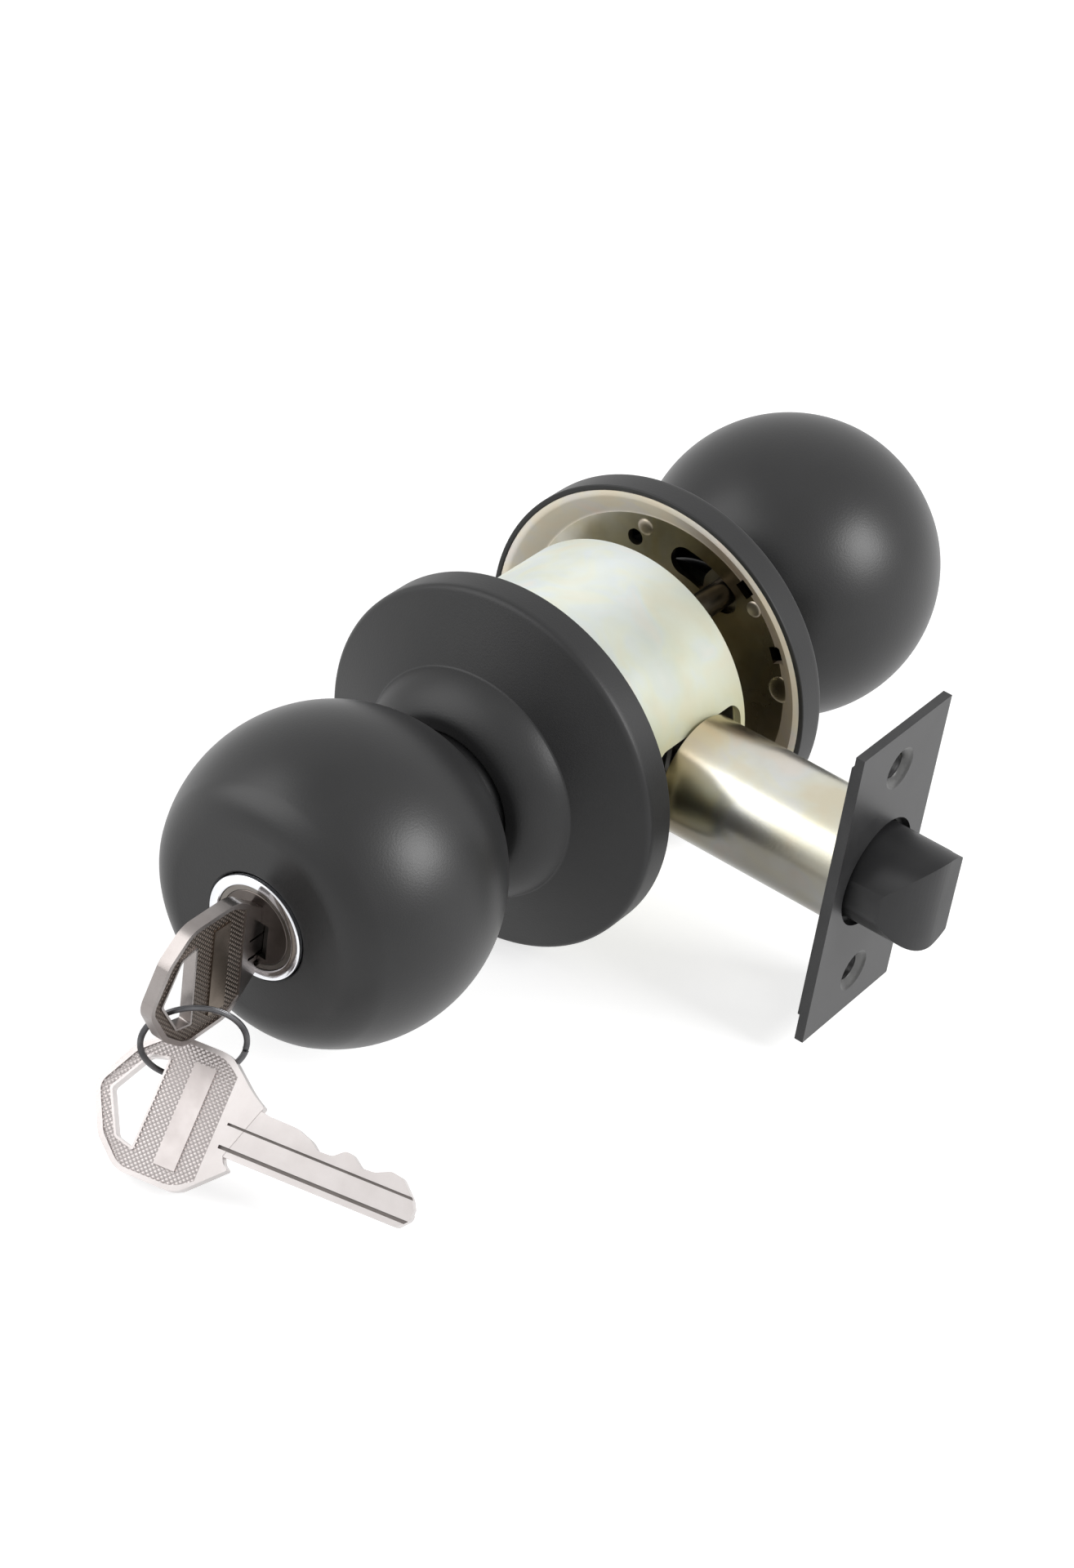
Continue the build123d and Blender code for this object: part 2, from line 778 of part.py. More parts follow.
# Backing plate that grips the end of the latch tube
with BuildPart() as latch_backing_plate:
    with BuildSketch(Plane.YZ.offset(faceplate_back)):
        Rectangle(backing_width, backing_height)
        Circle(tube_radius, mode=Mode.SUBTRACT)
        with Locations((0, faceplate_screw_spacing / 2), (0, -faceplate_screw_spacing / 2)):
            Circle(faceplate_screw_radius + free_gap, mode=Mode.SUBTRACT)
    extrude(amount=-backing_thickness)
latch_backing_plate.part.label = "latch_backing_plate"
export_step(latch_backing_plate.part, "parts/latch_backing_plate.step")

# Latch tube with two prongs that reach into the drum's window
with BuildPart() as latch_tube:
    with BuildSketch(Plane.YZ.offset(tube_back)):
        Circle(tube_radius)
        Circle(tube_bore, mode=Mode.SUBTRACT)
    extrude(amount=faceplate_back - tube_back)
    with BuildSketch(Plane.YZ.offset(tube_back)):
        Circle(tube_radius)
        Circle(tube_bore, mode=Mode.SUBTRACT)
        Rectangle(2 * tube_radius, 2 * prong_half_height, mode=Mode.INTERSECT)
    extrude(amount=-prong_reach)
latch_tube.part.label = "latch_tube"
export_step(latch_tube.part, "parts/latch_tube.step")

# Rear plate that closes the tube round the tail
with BuildPart() as latch_rear_plate:
    with BuildSketch(Plane.YZ.offset(tube_back)):
        Circle(tube_bore)
        Rectangle(
            2 * (tail_half_thickness + free_gap),
            2 * (tail_half_height + free_gap),
            mode=Mode.SUBTRACT,
        )
    extrude(amount=rear_plate_thickness)
latch_rear_plate.part.label = "latch_rear_plate"
export_step(latch_rear_plate.part, "parts/latch_rear_plate.step")

# Bolt guide: a dark ring in the mouth of the tube
with BuildPart() as latch_bolt_guide:
    with BuildSketch(Plane.YZ.offset(faceplate_back)):
        Circle(tube_bore)
        Circle(bolt_radius + slide_gap, mode=Mode.SUBTRACT)
    extrude(amount=-guide_ring_depth)
latch_bolt_guide.part.label = "latch_bolt_guide"
export_step(latch_bolt_guide.part, "parts/latch_bolt_guide.step")

# Bolt: a round bar with a flat for the plunger and a curved nose towards the keyed side
nose_start = Vector(backset - bolt_nose_start, -bolt_radius)
nose_end = Vector(bolt_tip, bolt_land_edge)
nose_chord = nose_end - nose_start
nose_side = Vector(nose_chord.Y, -nose_chord.X).normalized()
nose_middle = (nose_start + nose_end) * 0.5 + nose_side * bolt_nose_bulge
with BuildPart() as latch_bolt:
    with BuildSketch(Plane.YZ.offset(bolt_body_back)):
        Circle(bolt_radius)
        with Locations((bolt_flat, 0)):
            Rectangle(
                bolt_radius, 2 * bolt_radius, align=(Align.MIN, Align.CENTER), mode=Mode.SUBTRACT
            )
    extrude(amount=bolt_tip - bolt_body_back)
    with BuildSketch(Plane.XY):
        with BuildLine():
            ThreePointArc(nose_start, nose_middle, nose_end)
            Polyline(
                nose_end,
                (bolt_tip + bolt_radius, bolt_land_edge),
                (bolt_tip + bolt_radius, -2 * bolt_radius),
                (backset - bolt_nose_start, -2 * bolt_radius),
                nose_start,
            )
        make_face()
    extrude(amount=bolt_radius, both=True, mode=Mode.SUBTRACT)
    with BuildSketch(Plane.YZ.offset(bolt_body_back)):
        Rectangle(2 * tail_half_thickness, 2 * tail_half_height)
    extrude(amount=tail_insert, mode=Mode.SUBTRACT)
    with BuildSketch(Plane.XZ.offset(-bolt_flat)):
        with Locations((bolt_body_back + tail_pin_inset, 0)):
            Circle(tail_pin_radius)
    extrude(amount=2 * bolt_flat, mode=Mode.SUBTRACT)
latch_bolt.part.label = "latch_bolt"
export_step(latch_bolt.part, "parts/latch_bolt.step")

# Tail: a flat fork that straddles the locking bar, with heads behind the crossbar
head_face = crossbar_back - slide_gap
with BuildPart() as latch_tail:
    with BuildSketch(Plane.XZ):
        with Locations((head_face, 0)):
            Rectangle(tail_head_depth, 2 * tail_head_half_height, align=(Align.MAX, Align.CENTER))
            Rectangle(
                bolt_body_back + tail_insert - head_face,
                2 * tail_half_height,
                align=(Align.MIN, Align.CENTER),
            )
        with Locations((head_face - tail_head_depth, 0)):
            Rectangle(
                tail_slot_length,
                2 * tail_slot_half_height,
                align=(Align.MIN, Align.CENTER),
                mode=Mode.SUBTRACT,
            )
        with Locations((bolt_body_back + tail_pin_inset, 0)):
            Circle(tail_pin_radius, mode=Mode.SUBTRACT)
    extrude(amount=tail_half_thickness, both=True)
latch_tail.part.label = "latch_tail"
export_step(latch_tail.part, "parts/latch_tail.step")

# Pin that holds the tail in the bolt
with BuildPart() as tail_pin:
    with BuildSketch(Plane.XZ.offset(-bolt_flat + slide_gap)):
        with Locations((bolt_body_back + tail_pin_inset, 0)):
            Circle(tail_pin_radius)
    extrude(amount=2 * (bolt_flat - slide_gap))
tail_pin.part.label = "tail_pin"
export_step(tail_pin.part, "parts/tail_pin.step")

# Bolt springs above and below the tail, drawn as sleeves of the coil's size
with BuildPart() as bolt_springs:
    with BuildSketch(Plane.YZ.offset(tube_back + rear_plate_thickness)):
        with Locations((0, bolt_spring_height), (0, -bolt_spring_height)):
            Circle(bolt_spring_radius)
            Circle(bolt_spring_radius - thin_spring_strip, mode=Mode.SUBTRACT)
    extrude(amount=bolt_body_back - tube_back - rear_plate_thickness)
bolt_springs.part.label = "bolt_springs"
export_step(bolt_springs.part, "parts/bolt_springs.step")

# Plunger: the small bar beside the bolt's flat that deadlocks the bolt
plunger_tip = backset + plunger_throw
plunger_back = plunger_tip - plunger_length
with BuildPart() as deadlatch_plunger:
    with BuildSketch(Plane.YZ.offset(plunger_back)):
        Circle(bolt_radius)
        with Locations((bolt_flat + free_gap, 0)):
            Rectangle(
                bolt_radius, 2 * bolt_radius, align=(Align.MIN, Align.CENTER), mode=Mode.INTERSECT
            )
    extrude(amount=plunger_length)
deadlatch_plunger.part.label = "deadlatch_plunger"
export_step(deadlatch_plunger.part, "parts/deadlatch_plunger.step")

with BuildPart() as plunger_spring:
    with BuildSketch(Plane.YZ.offset(tube_back + rear_plate_thickness)):
        with Locations(((bolt_flat + bolt_radius) / 2, 0)):
            Circle(plunger_spring_radius)
            Circle(plunger_spring_radius - thin_spring_strip, mode=Mode.SUBTRACT)
    extrude(amount=plunger_back - tube_back - rear_plate_thickness)
plunger_spring.part.label = "plunger_spring"
export_step(plunger_spring.part, "parts/plunger_spring.step")

# Trim ring round the cylinder
with BuildPart() as cylinder_trim_ring:
    revolve(
        ring_section(
            cylinder_nose_radius + running_gap, trim_radius, -trim_front, -trim_front + trim_depth
        ),
        axis=Axis.Y,
    )
    front_edges = cylinder_trim_ring.edges().group_by(Axis.Y)[0]
    fillet(front_edges, radius=lip_round)
cylinder_trim_ring.part.label = "cylinder_trim_ring"
export_step(cylinder_trim_ring.part, "parts/cylinder_trim_ring.step")

# Cylinder body with its pin chamber standing up from the plug
pin_stations = [key_stop - first_pin - index * pin_spacing for index in range(pin_count)]
nose_back = cylinder_front - cylinder_nose_depth
with BuildPart() as cylinder_body:
    with BuildSketch(Plane.XZ.offset(cylinder_back)):
        Circle(cylinder_radius)
    extrude(amount=nose_back - cylinder_back)
    with BuildSketch(Plane.XZ.offset(nose_back)):
        Circle(cylinder_nose_radius)
    extrude(amount=cylinder_nose_depth)
    with BuildSketch(Plane.XZ.offset(cylinder_back)):
        Rectangle(2 * chamber_half_width, chamber_height, align=(Align.CENTER, Align.MIN))
    extrude(amount=nose_back - cylinder_back)
    with BuildSketch(Plane.XZ.offset(cylinder_back)):
        Circle(plug_radius + running_gap)
    extrude(amount=cylinder_front - cylinder_back, mode=Mode.SUBTRACT)
    with BuildSketch(Plane.XY.offset(chamber_height)):
        with Locations((0, -(cylinder_back + nose_back) / 2)):
            Rectangle(2 * cover_half_width, nose_back - cylinder_back)
    extrude(amount=-cover_thickness, mode=Mode.SUBTRACT)
    with BuildSketch(Plane.XY.offset(chamber_height)):
        with Locations(*[(0, -station) for station in pin_stations]):
            Circle(pin_radius + slide_gap)
    extrude(amount=-chamber_height, mode=Mode.SUBTRACT)
cylinder_body.part.label = "cylinder_body"
export_step(cylinder_body.part, "parts/cylinder_body.step")

with BuildPart() as chamber_cover:
    with BuildSketch(Plane.XY.offset(chamber_height)):
        with Locations((0, -(cylinder_back + nose_back) / 2)):
            Rectangle(2 * cover_half_width, nose_back - cylinder_back)
    extrude(amount=-cover_thickness)
chamber_cover.part.label = "chamber_cover"
export_step(chamber_cover.part, "parts/chamber_cover.step")

# Plug with its keyway and pin holes
keyway_top = blade_bottom + blade_height + free_gap
keyway_end = key_stop - blade_length - loose_gap
with BuildPart() as cylinder_plug:
    with BuildSketch(Plane.XZ.offset(cylinder_back)):
        Circle(plug_radius)
    extrude(amount=plug_front - cylinder_back)
    with BuildSketch(Plane.XZ.offset(plug_boss_end)):
        Circle(plug_boss_radius)
    extrude(amount=cylinder_back - plug_boss_end)
    with BuildSketch(Plane.XZ.offset(keyway_end)):
        with Locations((0, keyway_top)):
            Rectangle(
                blade_thickness + 2 * slide_gap, 3 * plug_radius, align=(Align.CENTER, Align.MAX)
            )
    extrude(amount=plug_front, mode=Mode.SUBTRACT)
    with BuildSketch(Plane.XY.offset(plug_radius)):
        with Locations(*[(0, -station) for station in pin_stations]):
            Circle(pin_radius + slide_gap)
    extrude(amount=-plug_radius, mode=Mode.SUBTRACT)
    with BuildSketch(Plane.XZ.offset(plug_boss_end)):
        Rectangle(2 * tailpiece_half_thickness, 2 * tailpiece_half_height)
    extrude(amount=cylinder_back - plug_boss_end, mode=Mode.SUBTRACT)
cylinder_plug.part.label = "cylinder_plug"
export_step(cylinder_plug.part, "parts/cylinder_plug.step")

# Pins stand at the height that the highest tooth behind them needs
pin_reaches = [first_pin + index * pin_spacing for index in range(pin_count)]
key_tops = [
    max(height for reach, height in key_cuts[1:] if reach >= pin_reach - pin_spacing / 2)
    for pin_reach in pin_reaches
]
pin_top = math.sqrt(plug_radius**2 - pin_radius**2) - running_gap
driver_bottom = plug_radius + shear_gap
with BuildPart() as key_pins:
    for station, top in zip(pin_stations, key_tops):
        pin_bottom = blade_bottom + top + slide_gap
        with BuildSketch(Plane.XY.offset(pin_bottom)):
            with Locations((0, -station)):
                Circle(pin_radius)
        extrude(amount=pin_top - pin_bottom)
key_pins.part.label = "key_pins"
export_step(key_pins.part, "parts/key_pins.step")

with BuildPart() as driver_pins:
    with BuildSketch(Plane.XY.offset(driver_bottom)):
        with Locations(*[(0, -station) for station in pin_stations]):
            Circle(pin_radius)
    extrude(amount=driver_length)
driver_pins.part.label = "driver_pins"
export_step(driver_pins.part, "parts/driver_pins.step")

spring_bottom = driver_bottom + driver_length
with BuildPart() as pin_springs:
    with BuildSketch(Plane.XY.offset(spring_bottom)):
        with Locations(*[(0, -station) for station in pin_stations]):
            Circle(pin_radius - slide_gap)
            Circle(pin_radius - spring_strip, mode=Mode.SUBTRACT)
    extrude(amount=chamber_height - cover_thickness - spring_bottom)
pin_springs.part.label = "pin_springs"
export_step(pin_springs.part, "parts/pin_springs.step")

# Clip that keeps the plug in the body, and the tailpiece behind it
with BuildPart() as plug_clip:
    revolve(
        ring_section(
            plug_boss_radius,
            plug_clip_radius,
            -cylinder_back + slide_gap,
            -cylinder_back + slide_gap + plug_clip_width,
        ),
        axis=Axis.Y,
    )
plug_clip.part.label = "plug_clip"
export_step(plug_clip.part, "parts/plug_clip.step")

with BuildPart() as tailpiece:
    with BuildSketch(Plane.XZ.offset(tailpiece_end)):
        Rectangle(2 * tailpiece_half_thickness, 2 * tailpiece_half_height)
    extrude(amount=cylinder_back - tailpiece_end)
tailpiece.part.label = "tailpiece"
export_step(tailpiece.part, "parts/tailpiece.step")

# Key in the plug: blade along +Y, cuts up
blank = key_blank()
key_plane = Plane(origin=(0, -key_stop, key_middle), x_dir=(0, 1, 0), z_dir=(1, 0, 0))
with BuildPart() as key:
    add(key_plane * blank)
key.part.label = "key"
export_step(key.part, "parts/key.step")

# Ring: one turn of wire through the windows of both bows
ring_plane = Plane(
    origin=key_plane.from_local_coords((ring_hold[0], ring_hold[1], 0)),
    x_dir=ring_drop,
    z_dir=ring_normal,
)
ring_middle = ring_plane.from_local_coords((ring_radius, 0, 0))
gap_ray = Vector(1, 0).rotate(Axis.Z, ring_gap_at_deg)
gap_plane = Plane(
    origin=ring_middle,
    x_dir=ring_plane.from_local_coords(gap_ray) - ring_plane.origin,
    z_dir=ring_normal,
)
with BuildPart() as key_ring:
    with BuildSketch(Plane(origin=ring_middle, x_dir=gap_plane.x_dir, z_dir=gap_plane.y_dir)):
        with Locations((ring_radius, 0)):
            Circle(ring_wire)
    revolve(axis=Axis(ring_middle, ring_normal), revolution_arc=360 - ring_gap_deg)
key_ring.part.label = "key_ring"
export_step(key_ring.part, "parts/key_ring.step")

# Spare key on the ring
spare_ray = Vector(ring_radius, 0).rotate(Axis.Z, spare_ring_deg)
spare_pivot = ring_plane.from_local_coords(spare_ray + Vector(ring_radius, 0))
spare_turn = Plane(origin=(0, 0, 0), x_dir=spare_blade, z_dir=spare_normal)
spare_plane = Plane(
    origin=spare_pivot - spare_turn.from_local_coords((spare_hold[0], spare_hold[1], 0)),
    x_dir=spare_blade,
    z_dir=spare_normal,
)
with BuildPart() as spare_key:
    add(spare_plane * blank)
spare_key.part.label = "spare_key"
export_step(spare_key.part, "parts/spare_key.step")

# Turn button on the inside knob, its bushing, bar, spring and clip
with BuildPart() as button_bushing:
    revolve(
        ring_section(
            button_radius + slide_gap, face_hole_radius, bushing_front - bushing_depth, bushing_front
        ),
        axis=Axis.Y,
    )
    revolve(
        ring_section(
            button_stem_radius + slide_gap,
            face_hole_radius,
            bushing_front - bushing_depth - cup_wall,
            bushing_front - bushing_depth,
        ),
        axis=Axis.Y,
    )
    fillet(button_bushing.edges().group_by(Axis.Y)[-1], radius=lip_round)
button_bushing.part.label = "button_bushing"
export_step(button_bushing.part, "parts/button_bushing.step")

with BuildPart() as turn_button:
    with BuildSketch(Plane.XZ.offset(-button_face)):
        Circle(button_radius)
    extrude(amount=button_depth)
    with BuildSketch(Plane.XZ.offset(-button_face)):
        SlotOverall(thumb_length, thumb_width, rotation=90)
    extrude(amount=-thumb_height)
    fillet(turn_button.edges().group_by(Axis.Y)[-1], radius=button_round)
    with BuildSketch(Plane.XZ.offset(-button_face + button_depth)):
        Circle(button_stem_radius)
    extrude(amount=button_face - button_depth - button_stem_end)
    with BuildSketch(Plane.XZ.offset(-button_stem_end)):
        Circle(lock_bar_radius)
    extrude(amount=-lock_bar_end + button_stem_end, mode=Mode.SUBTRACT)
turn_button.part.label = "turn_button"
export_step(turn_button.part, "parts/turn_button.step")

with BuildPart() as locking_bar:
    with BuildSketch(Plane.XZ.offset(-lock_bar_end)):
        Circle(lock_bar_radius)
    extrude(amount=lock_bar_end + lock_lug_station)
    with BuildSketch(Plane.XZ.offset(lock_lug_station)):
        Rectangle(2 * lock_lug_half, 2 * lock_lug_half_thickness)
    extrude(amount=lock_lug_width)
locking_bar.part.label = "locking_bar"
export_step(locking_bar.part, "parts/locking_bar.step")

bushing_back = bushing_front - bushing_depth - cup_wall
with BuildPart() as button_clip:
    revolve(
        ring_section(
            button_stem_radius, button_clip_radius, button_stem_end, button_stem_end + clip_width
        ),
        axis=Axis.Y,
    )
button_clip.part.label = "button_clip"
export_step(button_clip.part, "parts/button_clip.step")

with BuildPart() as button_spring:
    revolve(
        ring_section(
            button_stem_radius + slide_gap,
            button_clip_radius,
            button_stem_end + clip_width,
            bushing_back,
        ),
        axis=Axis.Y,
    )
button_spring.part.label = "button_spring"
export_step(button_spring.part, "parts/button_spring.step")
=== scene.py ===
import math
import bpy
from mathutils import Matrix, Vector


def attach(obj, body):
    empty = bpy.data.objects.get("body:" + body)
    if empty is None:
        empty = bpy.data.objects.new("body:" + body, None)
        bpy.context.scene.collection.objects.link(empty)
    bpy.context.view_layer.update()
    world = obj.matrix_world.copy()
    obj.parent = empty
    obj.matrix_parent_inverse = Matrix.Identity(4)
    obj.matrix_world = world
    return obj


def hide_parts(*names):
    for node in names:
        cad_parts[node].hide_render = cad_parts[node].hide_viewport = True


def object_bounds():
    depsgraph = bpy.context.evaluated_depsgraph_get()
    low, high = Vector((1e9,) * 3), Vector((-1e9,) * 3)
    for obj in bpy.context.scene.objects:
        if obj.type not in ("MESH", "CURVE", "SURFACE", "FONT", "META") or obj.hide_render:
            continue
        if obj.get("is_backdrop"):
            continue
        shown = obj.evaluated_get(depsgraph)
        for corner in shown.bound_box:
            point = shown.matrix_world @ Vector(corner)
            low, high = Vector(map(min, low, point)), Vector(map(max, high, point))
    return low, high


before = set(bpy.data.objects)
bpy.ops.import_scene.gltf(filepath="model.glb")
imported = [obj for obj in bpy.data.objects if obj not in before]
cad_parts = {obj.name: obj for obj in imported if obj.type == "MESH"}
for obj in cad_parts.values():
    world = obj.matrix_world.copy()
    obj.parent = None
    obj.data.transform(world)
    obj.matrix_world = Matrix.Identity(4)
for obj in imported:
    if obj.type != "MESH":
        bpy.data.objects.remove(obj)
bpy.ops.object.select_all(action="DESELECT")
cad_low, cad_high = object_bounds()

# The set: a white sweep under the lockset, one soft box behind it on the right that puts
# the glow on the knobs, and a weaker one over the keys. The camera stands where the
# photograph was taken, a little tilted.
mm = 0.001
floor_gap = 0.3
sweep_grey = 0.6
sweep_glow = 0.7
air_level = 0.35


def seen_straight(nodes, links):
    """A value of 1 for what the camera sees, also in a mirror or through glass, else 0."""
    path = nodes.new("ShaderNodeLightPath")
    level = path.outputs["Is Camera Ray"]
    for ray in ("Is Glossy Ray", "Is Transmission Ray"):
        either = nodes.new("ShaderNodeMath")
        either.operation = "MAXIMUM"
        links.new(level, either.inputs[0])
        links.new(path.outputs[ray], either.inputs[1])
        level = either.outputs[0]
    return level


bpy.ops.mesh.primitive_plane_add(size=8, location=(0, 0, cad_low.z - floor_gap * mm))
floor = bpy.context.object
floor.name = "floor"
bpy.ops.object.select_all(action="DESELECT")
sweep_paint = bpy.data.materials.new("sweep_paint")
sweep_paint.use_nodes = True
nodes, links = sweep_paint.node_tree.nodes, sweep_paint.node_tree.links
nodes.clear()
paint = nodes.new("ShaderNodeBsdfDiffuse")
paint.inputs["Color"].default_value = (sweep_grey, sweep_grey, sweep_grey, 1)
glow_level = nodes.new("ShaderNodeMath")
glow_level.operation = "MULTIPLY"
glow_level.inputs[1].default_value = sweep_glow
links.new(seen_straight(nodes, links), glow_level.inputs[0])
glow = nodes.new("ShaderNodeEmission")
glow.inputs["Color"].default_value = (1, 1, 1, 1)
links.new(glow_level.outputs[0], glow.inputs["Strength"])
both = nodes.new("ShaderNodeAddShader")
links.new(paint.outputs[0], both.inputs[0])
links.new(glow.outputs[0], both.inputs[1])
surface = nodes.new("ShaderNodeOutputMaterial")
links.new(both.outputs[0], surface.inputs["Surface"])
floor.data.materials.append(sweep_paint)
floor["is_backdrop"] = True

world = bpy.data.worlds.new("white_studio")
bpy.context.scene.world = world
world.use_nodes = True
nodes, links = world.node_tree.nodes, world.node_tree.links
nodes.clear()
level = nodes.new("ShaderNodeMapRange")
level.inputs["To Min"].default_value = air_level
level.inputs["To Max"].default_value = 1.0
links.new(seen_straight(nodes, links), level.inputs["Value"])
air = nodes.new("ShaderNodeBackground")
air.inputs["Color"].default_value = (1, 1, 1, 1)
links.new(level.outputs["Result"], air.inputs["Strength"])
surface = nodes.new("ShaderNodeOutputWorld")
links.new(air.outputs[0], surface.inputs["Surface"])

for lamp_name, towards, away, size, power in (
    ("soft_box_right", (0.79, 0.21, 0.575), 0.9, 0.40, 6.2),
    ("soft_box_over_keys", (-0.595, -0.585, 0.55), 0.6, 0.5, 1.9),
):
    lamp_data = bpy.data.lights.new(lamp_name, "AREA")
    lamp_data.shape = "SQUARE"
    lamp_data.size = size
    lamp_data.energy = power
    lamp = bpy.data.objects.new(lamp_name, lamp_data)
    lamp.location = Vector(towards).normalized() * away
    lamp.rotation_euler = Vector(towards).to_track_quat("Z", "Y").to_euler()
    bpy.context.scene.collection.objects.link(lamp)

camera_place = (0.25528, -0.41779, 0.34717)
azimuth_deg = 31.97
elevation_deg = 36.63
roll_deg = 8.864
camera_data = bpy.data.cameras.new("photo_camera")
camera_data.lens = 82.78
camera_data.sensor_width = 36
camera_data.clip_start = 0.01
camera_data.clip_end = 20
camera = bpy.data.objects.new("photo_camera", camera_data)
camera.location = camera_place
camera.rotation_euler = (
    Matrix.Rotation(math.radians(azimuth_deg), 3, "Z")
    @ Matrix.Rotation(math.radians(90 - elevation_deg), 3, "X")
    @ Matrix.Rotation(math.radians(roll_deg), 3, "Z")
).to_euler()
bpy.context.scene.collection.objects.link(camera)
bpy.context.scene.camera = camera
bpy.context.scene.view_settings.view_transform = "Standard"

# Chassis drum: a zinc-plated steel tube that fills the cross bore, with a rounded window
# for the latch. Two discs close its ends, and each carries the bearing hub of a spindle.
drum_radius = 25.4
drum_wall = 1.2
drum_near = -14.0
drum_far = 12.2
window_low = (10.0, -12.4, -9.0)
window_high = (40.0, 11.0, 9.0)
window_round = 3.0


def coated_metal(
    name, colour, other_colour, metallic, rough, grain_mm, grain_depth, patch_mm, specular=0.5
):
    """A finish with slow patches of a second shade and a fine grain in its surface."""
    material = bpy.data.materials.new(name)
    material.use_nodes = True
    nodes, links = material.node_tree.nodes, material.node_tree.links
    shader = nodes["Principled BSDF"]
    shader.inputs["Metallic"].default_value = metallic
    shader.inputs["Specular IOR Level"].default_value = specular
    place = nodes.new("ShaderNodeTexCoord")
    patches = nodes.new("ShaderNodeTexNoise")
    patches.inputs["Scale"].default_value = 1 / (patch_mm * mm)
    patches.inputs["Detail"].default_value = 4
    links.new(place.outputs["Object"], patches.inputs["Vector"])
    contrast = nodes.new("ShaderNodeMapRange")
    contrast.inputs["From Min"].default_value = 0.35
    contrast.inputs["From Max"].default_value = 0.65
    links.new(patches.outputs["Fac"], contrast.inputs["Value"])
    shade = nodes.new("ShaderNodeMix")
    shade.data_type = "RGBA"
    shade.inputs["A"].default_value = (*colour, 1)
    shade.inputs["B"].default_value = (*other_colour, 1)
    links.new(contrast.outputs["Result"], shade.inputs["Factor"])
    links.new(shade.outputs["Result"], shader.inputs["Base Color"])
    dull = nodes.new("ShaderNodeMapRange")
    dull.inputs["To Min"].default_value = rough * 0.88
    dull.inputs["To Max"].default_value = rough * 1.12
    links.new(patches.outputs["Fac"], dull.inputs["Value"])
    links.new(dull.outputs["Result"], shader.inputs["Roughness"])
    grain = nodes.new("ShaderNodeTexNoise")
    grain.inputs["Scale"].default_value = 1 / (grain_mm * mm)
    grain.inputs["Detail"].default_value = 3
    links.new(place.outputs["Object"], grain.inputs["Vector"])
    bump = nodes.new("ShaderNodeBump")
    bump.inputs["Strength"].default_value = grain_depth
    bump.inputs["Distance"].default_value = grain_mm * mm / 4
    links.new(grain.outputs["Fac"], bump.inputs["Height"])
    links.new(bump.outputs["Normal"], shader.inputs["Normal"])
    return material


def zinc_plate(name, colour, tint, rough, metallic=1.0):
    """Bright plating with a passivate film that turns pale yellow, green and rose in patches."""
    material = coated_metal(name, colour, tint, metallic, rough, 0.5, 0.06, 16)
    nodes, links = material.node_tree.nodes, material.node_tree.links
    shader = nodes["Principled BSDF"]
    film = nodes.new("ShaderNodeTexNoise")
    film.inputs["Scale"].default_value = 1 / (9 * mm)
    film.inputs["Detail"].default_value = 2
    film.inputs["Distortion"].default_value = 0.8
    links.new(nodes["Texture Coordinate"].outputs["Object"], film.inputs["Vector"])
    hues = nodes.new("ShaderNodeValToRGB")
    hues.color_ramp.elements[0].position = 0.32
    hues.color_ramp.elements[0].color = (0.99, 0.96, 0.86, 1)
    hues.color_ramp.elements[1].position = 0.70
    hues.color_ramp.elements[1].color = (0.99, 0.96, 0.95, 1)
    for position, hue in ((0.44, (0.97, 0.98, 0.91, 1)), (0.56, (0.94, 0.97, 0.99, 1))):
        stop = hues.color_ramp.elements.new(position)
        stop.color = hue
    links.new(film.outputs["Fac"], hues.inputs["Fac"])
    layered = nodes.new("ShaderNodeMix")
    layered.data_type = "RGBA"
    layered.blend_type = "MULTIPLY"
    layered.inputs["Factor"].default_value = 1
    links.new(nodes["Mix"].outputs["Result"], layered.inputs["A"])
    links.new(hues.outputs["Color"], layered.inputs["B"])
    links.new(layered.outputs["Result"], shader.inputs["Base Color"])
    return material


def shade_and_tint_across(material, towards, start, end, tint_colour):
    """Multiplies a finish's colour by a tint, more and more across the piece between two distances in mm:
    painted shade, painted highlight and plain tints.
    """
    nodes, links = material.node_tree.nodes, material.node_tree.links
    shader = nodes["Principled BSDF"]
    ungraded_colour = shader.inputs["Base Color"].links[0].from_socket
    reach = nodes.new("ShaderNodeVectorMath")
    reach.operation = "DOT_PRODUCT"
    reach.inputs[1].default_value = Vector(towards).normalized()
    links.new(nodes["Texture Coordinate"].outputs["Object"], reach.inputs[0])
    spread = nodes.new("ShaderNodeMapRange")
    spread.interpolation_type = "SMOOTHSTEP"
    spread.inputs["From Min"].default_value = start * mm
    spread.inputs["From Max"].default_value = end * mm
    links.new(reach.outputs["Value"], spread.inputs["Value"])
    tinted = nodes.new("ShaderNodeMix")
    tinted.data_type = "RGBA"
    tinted.blend_type = "MULTIPLY"
    tinted.inputs["B"].default_value = (*tint_colour, 1)
    links.new(spread.outputs["Result"], tinted.inputs["Factor"])
    links.new(ungraded_colour, tinted.inputs["A"])
    links.new(tinted.outputs["Result"], shader.inputs["Base Color"])


